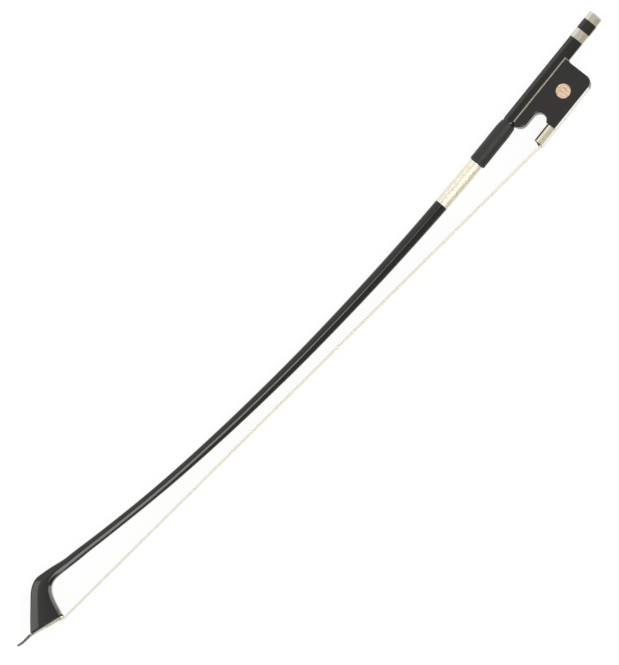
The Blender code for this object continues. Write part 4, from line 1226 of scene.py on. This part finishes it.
class BOW_OT_frog(bpy.types.Operator):
    """Models the ebony frog: leaning cheeks, a softened throat, and the seats of its fittings"""

    bl_idname = "bow.frog"
    bl_label = "Frog"

    def execute(self, context):
        heel = handle_box("frog_body")[0].x
        frog = flat_solid("ebony_frog", [self.outline(heel)], FROG_HALF_BOTTOM + 0.5)

        def leaned():
            """Cuts the two cheeks to their lean."""
            for side in (1.0, -1.0):
                bpy.ops.mesh.select_all(action="SELECT")
                cut_off(
                    (0.0, FROG_TOP * MM, side * FROG_HALF_TOP * MM),
                    (0.0, -math.sin(CHEEK_TILT), side * math.cos(CHEEK_TILT)),
                )

        edited(frog, leaned, welded)
        self.soften(frog)
        channel = octagonal("channel", CHANNEL_FLATS, heel - 2.0, NOSE_FRONT + 2.0)
        joined(frog, channel, "DIFFERENCE")
        start, end = handle_box("slide_base")[0].x, FROG_FRONT + 2.0
        half, (top, top_half) = SLIDE_HALF[0], DOVETAIL_TOP
        dovetail = [(SLIDE_FLOOR, -half), (top, -top_half), (top, top_half), (SLIDE_FLOOR, half)]
        joined(frog, section_solid("slide_seat", [dovetail], start - SLIDE_GAP, end), "DIFFERENCE")
        for side in (1.0, -1.0):
            seat = eye_disc("eye_seat", EYE_RADIUS + EYE_GAP, -EYE_DEPTH, 3.0, side)
            joined(frog, seat, "DIFFERENCE")
        tongue = [point for point in ferrule_loop(FERRULE_WALL + 0.3, 24)[:25] if point[0] < 29.0]
        joined(frog, section_solid("tongue", [tongue], FROG_FRONT - 3.0, TONGUE_END), "UNION")
        dressed(frog, HANDLE, polished_ebony, "frog", "ebony", "frog_body", angle=30.0)
        return {"FINISHED"}

    @staticmethod
    def outline(heel):
        """The frog seen on its cheek: along the stick, round the nose, up the throat and over the heel."""
        cx, cy = THROAT_CENTRE
        nose = (NOSE_FRONT - NOSE_RADIUS, cy - THROAT_RADIUS - NOSE_RADIUS)
        outline = [(heel, FROG_TOP), (NOSE_FRONT, FROG_TOP)]
        outline += arc(nose, NOSE_RADIUS, 15.0, 90.0, 14)
        outline += arc((cx, cy), THROAT_RADIUS, 270.0, 110.0, 32)
        outline += [(FROG_FRONT, FROG_BOTTOM)]
        outline += arc((heel + HEEL_RADIUS, FROG_BOTTOM - HEEL_RADIUS), HEEL_RADIUS, 90.0, 180.0, 16)
        return outline

    @staticmethod
    def soften(frog):
        """Rounds the cheeks' edges, more round the throat and over the nose than elsewhere."""
        weights = frog.data.attributes.new("bevel_weight_edge", "FLOAT", "EDGE")
        for edge in frog.data.edges:
            ends = [frog.data.vertices[k].co / MM for k in edge.vertices]
            if ends[0].z * ends[1].z > 0.0:
                middle = (ends[0] + ends[1]) / 2.0
                on_nose = middle.x > THROAT_CENTRE[0] and middle.y > FROG_TOP + 0.1
                off_throat = abs(middle.y - THROAT_CENTRE[1])
                in_throat = middle.x > FROG_FRONT - 5.5 and off_throat < THROAT_RADIUS + 0.05
                full = on_nose or in_throat
                weights.data[edge.index].value = 1.0 if full else EDGE_BEVEL / THROAT_BEVEL
        softening = {"segments": 5, "limit_method": "WEIGHT", "use_clamp_overlap": False}
        modified(frog, "BEVEL", width=THROAT_BEVEL * MM, **softening)


def eye_disc(name, radius, low, high, side):
    """A disc square to a cheek at the eye's place."""
    x, y = EYE_CENTRE
    bpy.ops.mesh.primitive_cylinder_add(vertices=64, radius=radius * MM, depth=(high - low) * MM)
    disc = named(name)
    out = Vector((0.0, -math.sin(CHEEK_TILT), side * math.cos(CHEEK_TILT)))
    width = FROG_HALF_TOP + (y - FROG_TOP) * math.tan(CHEEK_TILT)
    disc.location = (Vector((x, y, side * width)) + out * (low + high) / 2.0) * MM
    disc.rotation_euler = (CHEEK_TILT if side > 0.0 else math.pi - CHEEK_TILT, 0.0, 0.0)
    return settled(disc)


def ferrule_loop(inset, steps):
    """The ferrule's D: an arch towards the stick and a flat towards the hair, in the handle's y and z."""
    half, rise = FERRULE_HALF - inset, FERRULE_RISE - inset
    flat, corner = FERRULE_FLAT - inset, max(FERRULE_CORNER - inset, 0.3)
    points = arc((FERRULE_SPRING, 0.0), half, 270.0, 90.0, steps, rise / half)
    points += arc((flat - corner, half - corner), corner, 90.0, 0.0, 6)
    points += arc((flat - corner, corner - half), corner, 0.0, -90.0, 6)
    return points


class BOW_OT_frog_fittings(bpy.types.Operator):
    """Models the frog's pearl eyes, pearl slide, silver ferrule and the wedge that spreads the hair"""

    bl_idname = "bow.frog_fittings"
    bl_label = "Frog fittings"

    def execute(self, context):
        for name, side in (("eye_upper", 1.0), ("eye_lower", -1.0)):
            eye = eye_disc(f"{name}_pearl", EYE_RADIUS, -EYE_DEPTH + 0.2, 0.08, side)
            rounded(eye, 0.22, 3, 50.0)
            dressed(eye, HANDLE, rose_mother_of_pearl, "frog", "rose_pearl", name)

        low, high = handle_box("slide_pearl")
        top, half = FROG_BOTTOM, SLIDE_HALF[1] - 0.05
        strip = [(low.y, -high.z), (top, -half), (top, half), (low.y, high.z)]
        pearl = section_solid("slide_pearl_strip", [strip], low.x, high.x)
        rounded(pearl, 0.12, 2, 50.0)
        dressed(pearl, HANDLE, mother_of_pearl, "frog", "pearl", "slide_pearl")

        low, high = handle_box("ferrule")
        loops = [ferrule_loop(0.0, 56), ferrule_loop(FERRULE_WALL, 56)]
        ferrule = section_solid("silver_ferrule", loops, low.x, high.x)
        rounded(ferrule, 0.14, 2, 60.0)
        dressed(ferrule, HANDLE, yellow_tinted_silver, "frog", "silver", "ferrule")

        low, high = handle_box("spread_wedge")
        front, (back, face, crest, lip) = high.x, WEDGE_DEPTHS
        side = [(low.x, back), (front - 1.7 * WEDGE_NOSE, back)]
        side += arc((front - WEDGE_NOSE, back + WEDGE_NOSE), WEDGE_NOSE, 270.0, 360.0, 6)
        side += [(front, lip), (front - 2.5 * WEDGE_NOSE, crest), (low.x, face)]
        wedge = flat_solid("spread_wedge_wood", [side], high.z)
        rounded(wedge, 0.3, 3, 50.0)
        dressed(wedge, HANDLE, oiled_walnut, "frog", "walnut", "spread_wedge")
        return {"FINISHED"}


class BOW_OT_button(bpy.types.Operator):
    """Models the octagonal button: a silver cap, an ebony middle and a silver collar"""

    bl_idname = "bow.button"
    bl_label = "Button"

    def execute(self, context):
        low, high = handle_box("button_cap")
        flats = high.z - low.z
        cap = octagonal("silver_button_cap", flats, low.x, high.x + BAND_LAP)
        edited(
            cap,
            lambda: pick("EDGE", lambda middle: middle.x < low.x + 0.01),
            lambda: bpy.ops.mesh.bevel(offset=CAP_ROUNDING * MM, segments=6, affect="EDGES"),
        )
        rounded(cap, 0.2, 3, 35.0)
        self.bored(cap, SPIGOT_SEAT[0], high.x + 2.0)
        dressed(cap, HANDLE, polished_silver, "screw", "silver", "button_cap")

        low, high = handle_box("button_collar")
        collar = octagonal("silver_button_collar", high.z - low.z, low.x - BAND_LAP, high.x)
        rounded(collar, 0.22, 3, 35.0)
        self.bored(collar, low.x - 2.0, high.x + 2.0)
        dressed(collar, HANDLE, polished_silver, "screw", "silver", "button_collar")

        low, high = handle_box("button_cap")[1], handle_box("button_collar")[0]
        core = octagonal("ebony_button_core", flats + 0.1, low.x + 0.14, high.x - 0.14)
        rounded(core, 0.3, 3, 35.0)
        joined(core, rod("spigot", *SPIGOT, 48), "UNION")
        joined(core, rod("bore", *SCREW_BORE, 24), "DIFFERENCE")
        dressed(core, HANDLE, polished_ebony, "screw", "ebony", "button_core")
        return {"FINISHED"}

    @staticmethod
    def bored(ring, start, end):
        """Cuts the seat of the core's spigot."""
        joined(ring, rod("seat", start, end, SPIGOT_SEAT[1], 48), "DIFFERENCE")


class BOW_OT_small_fittings(bpy.types.Operator):
    """Gives their finishes to the pieces that show only at an edge or a mouth"""

    bl_idname = "bow.small_fittings"
    bl_label = "Small fittings"

    def execute(self, context):
        finishes = {
            "underslide": tarnished_silver,
            "underslide_screw_heel": tarnished_silver,
            "underslide_screw_nose": tarnished_silver,
            "plate_pin_rear": tarnished_silver,
            "plate_pin_front": tarnished_silver,
            "slide_base": polished_ebony,
            "head_wedge": bare_maple,
            "frog_wedge": bare_maple,
            "eyelet": machined_brass,
            "screw": bright_steel,
        }
        for node, maker in finishes.items():
            slots = frame["nodes"][node].data.materials
            slots.clear()
            slots.append(finish_of(maker))
        return {"FINISHED"}


class BOW_OT_stage(bpy.types.Operator):
    """Sets the white floor, the cloth tent with its soft lamps, and the photograph's camera"""

    bl_idname = "bow.stage"
    bl_label = "Stage"

    def execute(self, context):
        context.scene.view_settings.view_transform = "Standard"
        self.world(context)
        self.floor()
        self.tent()
        for lamp in LAMPS:
            self.lamp(*lamp)
        self.camera(context)
        return {"FINISHED"}

    @staticmethod
    def seen(tree):
        """1 for what the camera, a reflection or glass sees, and 0 for light."""
        path = add_node(tree, "ShaderNodeLightPath")
        share = path["Is Camera Ray"]
        for ray in ("Is Glossy Ray", "Is Transmission Ray"):
            inputs = {0: share, 1: path[ray]}
            share = add_node(tree, "ShaderNodeMath", inputs, operation="MAXIMUM")["Value"]
        return share

    @staticmethod
    def world(context):
        """A white surround, which only the camera sees past the tent."""
        world = bpy.data.worlds.new("white_surround")
        context.scene.world = world
        world.use_nodes = True
        world.node_tree.nodes["Background"].inputs["Color"].default_value = WHITE

    @staticmethod
    def tent():
        """White cloth round the object, brighter on the side of the stick's back and dim beside the hair."""
        bpy.ops.mesh.primitive_uv_sphere_add(segments=48, ring_count=24, radius=TENT_RADIUS)
        tent = named("tent")
        tent.visible_camera = False
        material, tree, _, place = new_material("lit_cloth")
        across = add_node(tree, "ShaderNodeSeparateXYZ", {"Vector": place})["Y"]
        inputs = {"Value": across, "From Min": TENT_RADIUS, "From Max": -TENT_RADIUS}
        share = add_node(tree, "ShaderNodeMapRange", inputs)["Result"]
        stops = [(way, tinted(linear(code), level)) for way, level, code in TENT_LIGHT]
        tone = add_node(tree, "ShaderNodeValToRGB", {"Fac": share}, stops)["Color"]
        glow = add_node(tree, "ShaderNodeEmission", {"Color": tone, "Strength": TENT_STRENGTH})
        connect(tree, tree.nodes["Material Output"], {"Surface": glow["Emission"]})
        tent.data.materials.append(material)

    def floor(self):
        """White paper, lifted to white where it is seen, with the object's shadow kept."""
        bpy.ops.mesh.primitive_plane_add(size=2.0 * TENT_RADIUS, location=(0.0, 0.0, -FLOOR_DROP))
        floor = named("floor")
        material, tree, shader, _ = new_material("white_paper")
        paper = {"Base Color": (*colours().paper, 1.0), "Roughness": 0.95, "Specular IOR Level": 0.0}
        connect(tree, shader, paper)
        glow = add_node(tree, "ShaderNodeEmission", {"Color": WHITE, "Strength": 1.0})
        lift = add_node(tree, "ShaderNodeMath", {0: self.seen(tree), 1: FLOOR_LIFT}, operation="MULTIPLY")
        inputs = {0: lift["Value"], 1: shader.outputs["BSDF"], 2: glow["Emission"]}
        mixed = add_node(tree, "ShaderNodeMixShader", inputs)
        connect(tree, tree.nodes["Material Output"], {"Surface": mixed["Shader"]})
        floor.data.materials.append(material)

    @staticmethod
    def lamp(name, place, size, power):
        """A soft lamp that faces the bow."""
        light = bpy.data.lights.new(name, "AREA")
        light.shape = "RECTANGLE"
        light.size, light.size_y = size
        light.energy = power
        lamp = added(name, light)
        lamp.location = place
        lamp.rotation_euler = Vector(place).to_track_quat("Z", "Y").to_euler()

    @staticmethod
    def camera(context):
        """A long lens that looks down at the cheek, turned so that the bow lies across the frame."""
        lens = bpy.data.cameras.new("camera")
        lens.lens = CAMERA_LENS
        lens.sensor_width = CAMERA_SENSOR
        camera = added("camera", lens)
        context.scene.camera = camera
        back = Vector((0.0, math.sin(VIEW_LEAN), math.cos(VIEW_LEAN)))
        right = Vector((1.0, 0.0, 0.0)) * math.cos(VIEW_TURN)
        right += Vector((0.0, math.cos(VIEW_LEAN), -math.sin(VIEW_LEAN))) * math.sin(VIEW_TURN)
        up = back.cross(right)
        distance = PHOTO_HEIGHT * CAMERA_LENS / CAMERA_SENSOR
        turn = Matrix((right, up, back)).transposed().to_4x4()
        middle = Vector((*VIEW_CENTRE, BUTTON_END.z))
        camera.matrix_world = Matrix.Translation(middle + back * distance) @ turn
        lens.clip_end = 50.0


class BOW_PT_pieces(bpy.types.Panel):
    """Lists the bow's pieces, its sizes and its colours"""

    bl_idname = "BOW_PT_pieces"
    bl_label = "Double bass bow"
    bl_space_type = "VIEW_3D"
    bl_region_type = "UI"
    bl_category = "Bow"

    def draw(self, context):
        for piece in PIECES:
            self.layout.operator(piece.bl_idname)
        for group in (context.scene.bow_sizes, context.scene.bow_colours):
            box = self.layout.box()
            for name in group.__annotations__:
                box.prop(group, name)


PIECES = (
    BOW_OT_stage,
    BOW_OT_stick,
    BOW_OT_head_fittings,
    BOW_OT_hair,
    BOW_OT_winding,
    BOW_OT_grip,
    BOW_OT_frog,
    BOW_OT_frog_fittings,
    BOW_OT_button,
    BOW_OT_small_fittings,
)
CLASSES = (BowSizes, BowColours, *PIECES, BOW_PT_pieces)


def register():
    """Makes the bow's operators, its panel, and its sizes and colours known."""
    for kind in CLASSES:
        bpy.utils.register_class(kind)
    bpy.types.Scene.bow_sizes = PointerProperty(type=BowSizes)
    bpy.types.Scene.bow_colours = PointerProperty(type=BowColours)


def unregister():
    """Takes away what register has made known."""
    del bpy.types.Scene.bow_colours
    del bpy.types.Scene.bow_sizes
    for kind in reversed(CLASSES):
        bpy.utils.unregister_class(kind)


def main():
    """Dresses the bow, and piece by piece."""
    register()
    bpy.ops.object.select_all(action="DESELECT")
    bpy.ops.bow.stage()
    bpy.ops.bow.stick()
    bpy.ops.bow.head_fittings()
    bpy.ops.bow.hair()
    bpy.ops.bow.winding()
    bpy.ops.bow.grip()
    bpy.ops.bow.frog()
    bpy.ops.bow.frog_fittings()
    bpy.ops.bow.button()
    bpy.ops.bow.small_fittings()


if __name__ == "__main__":
    main()
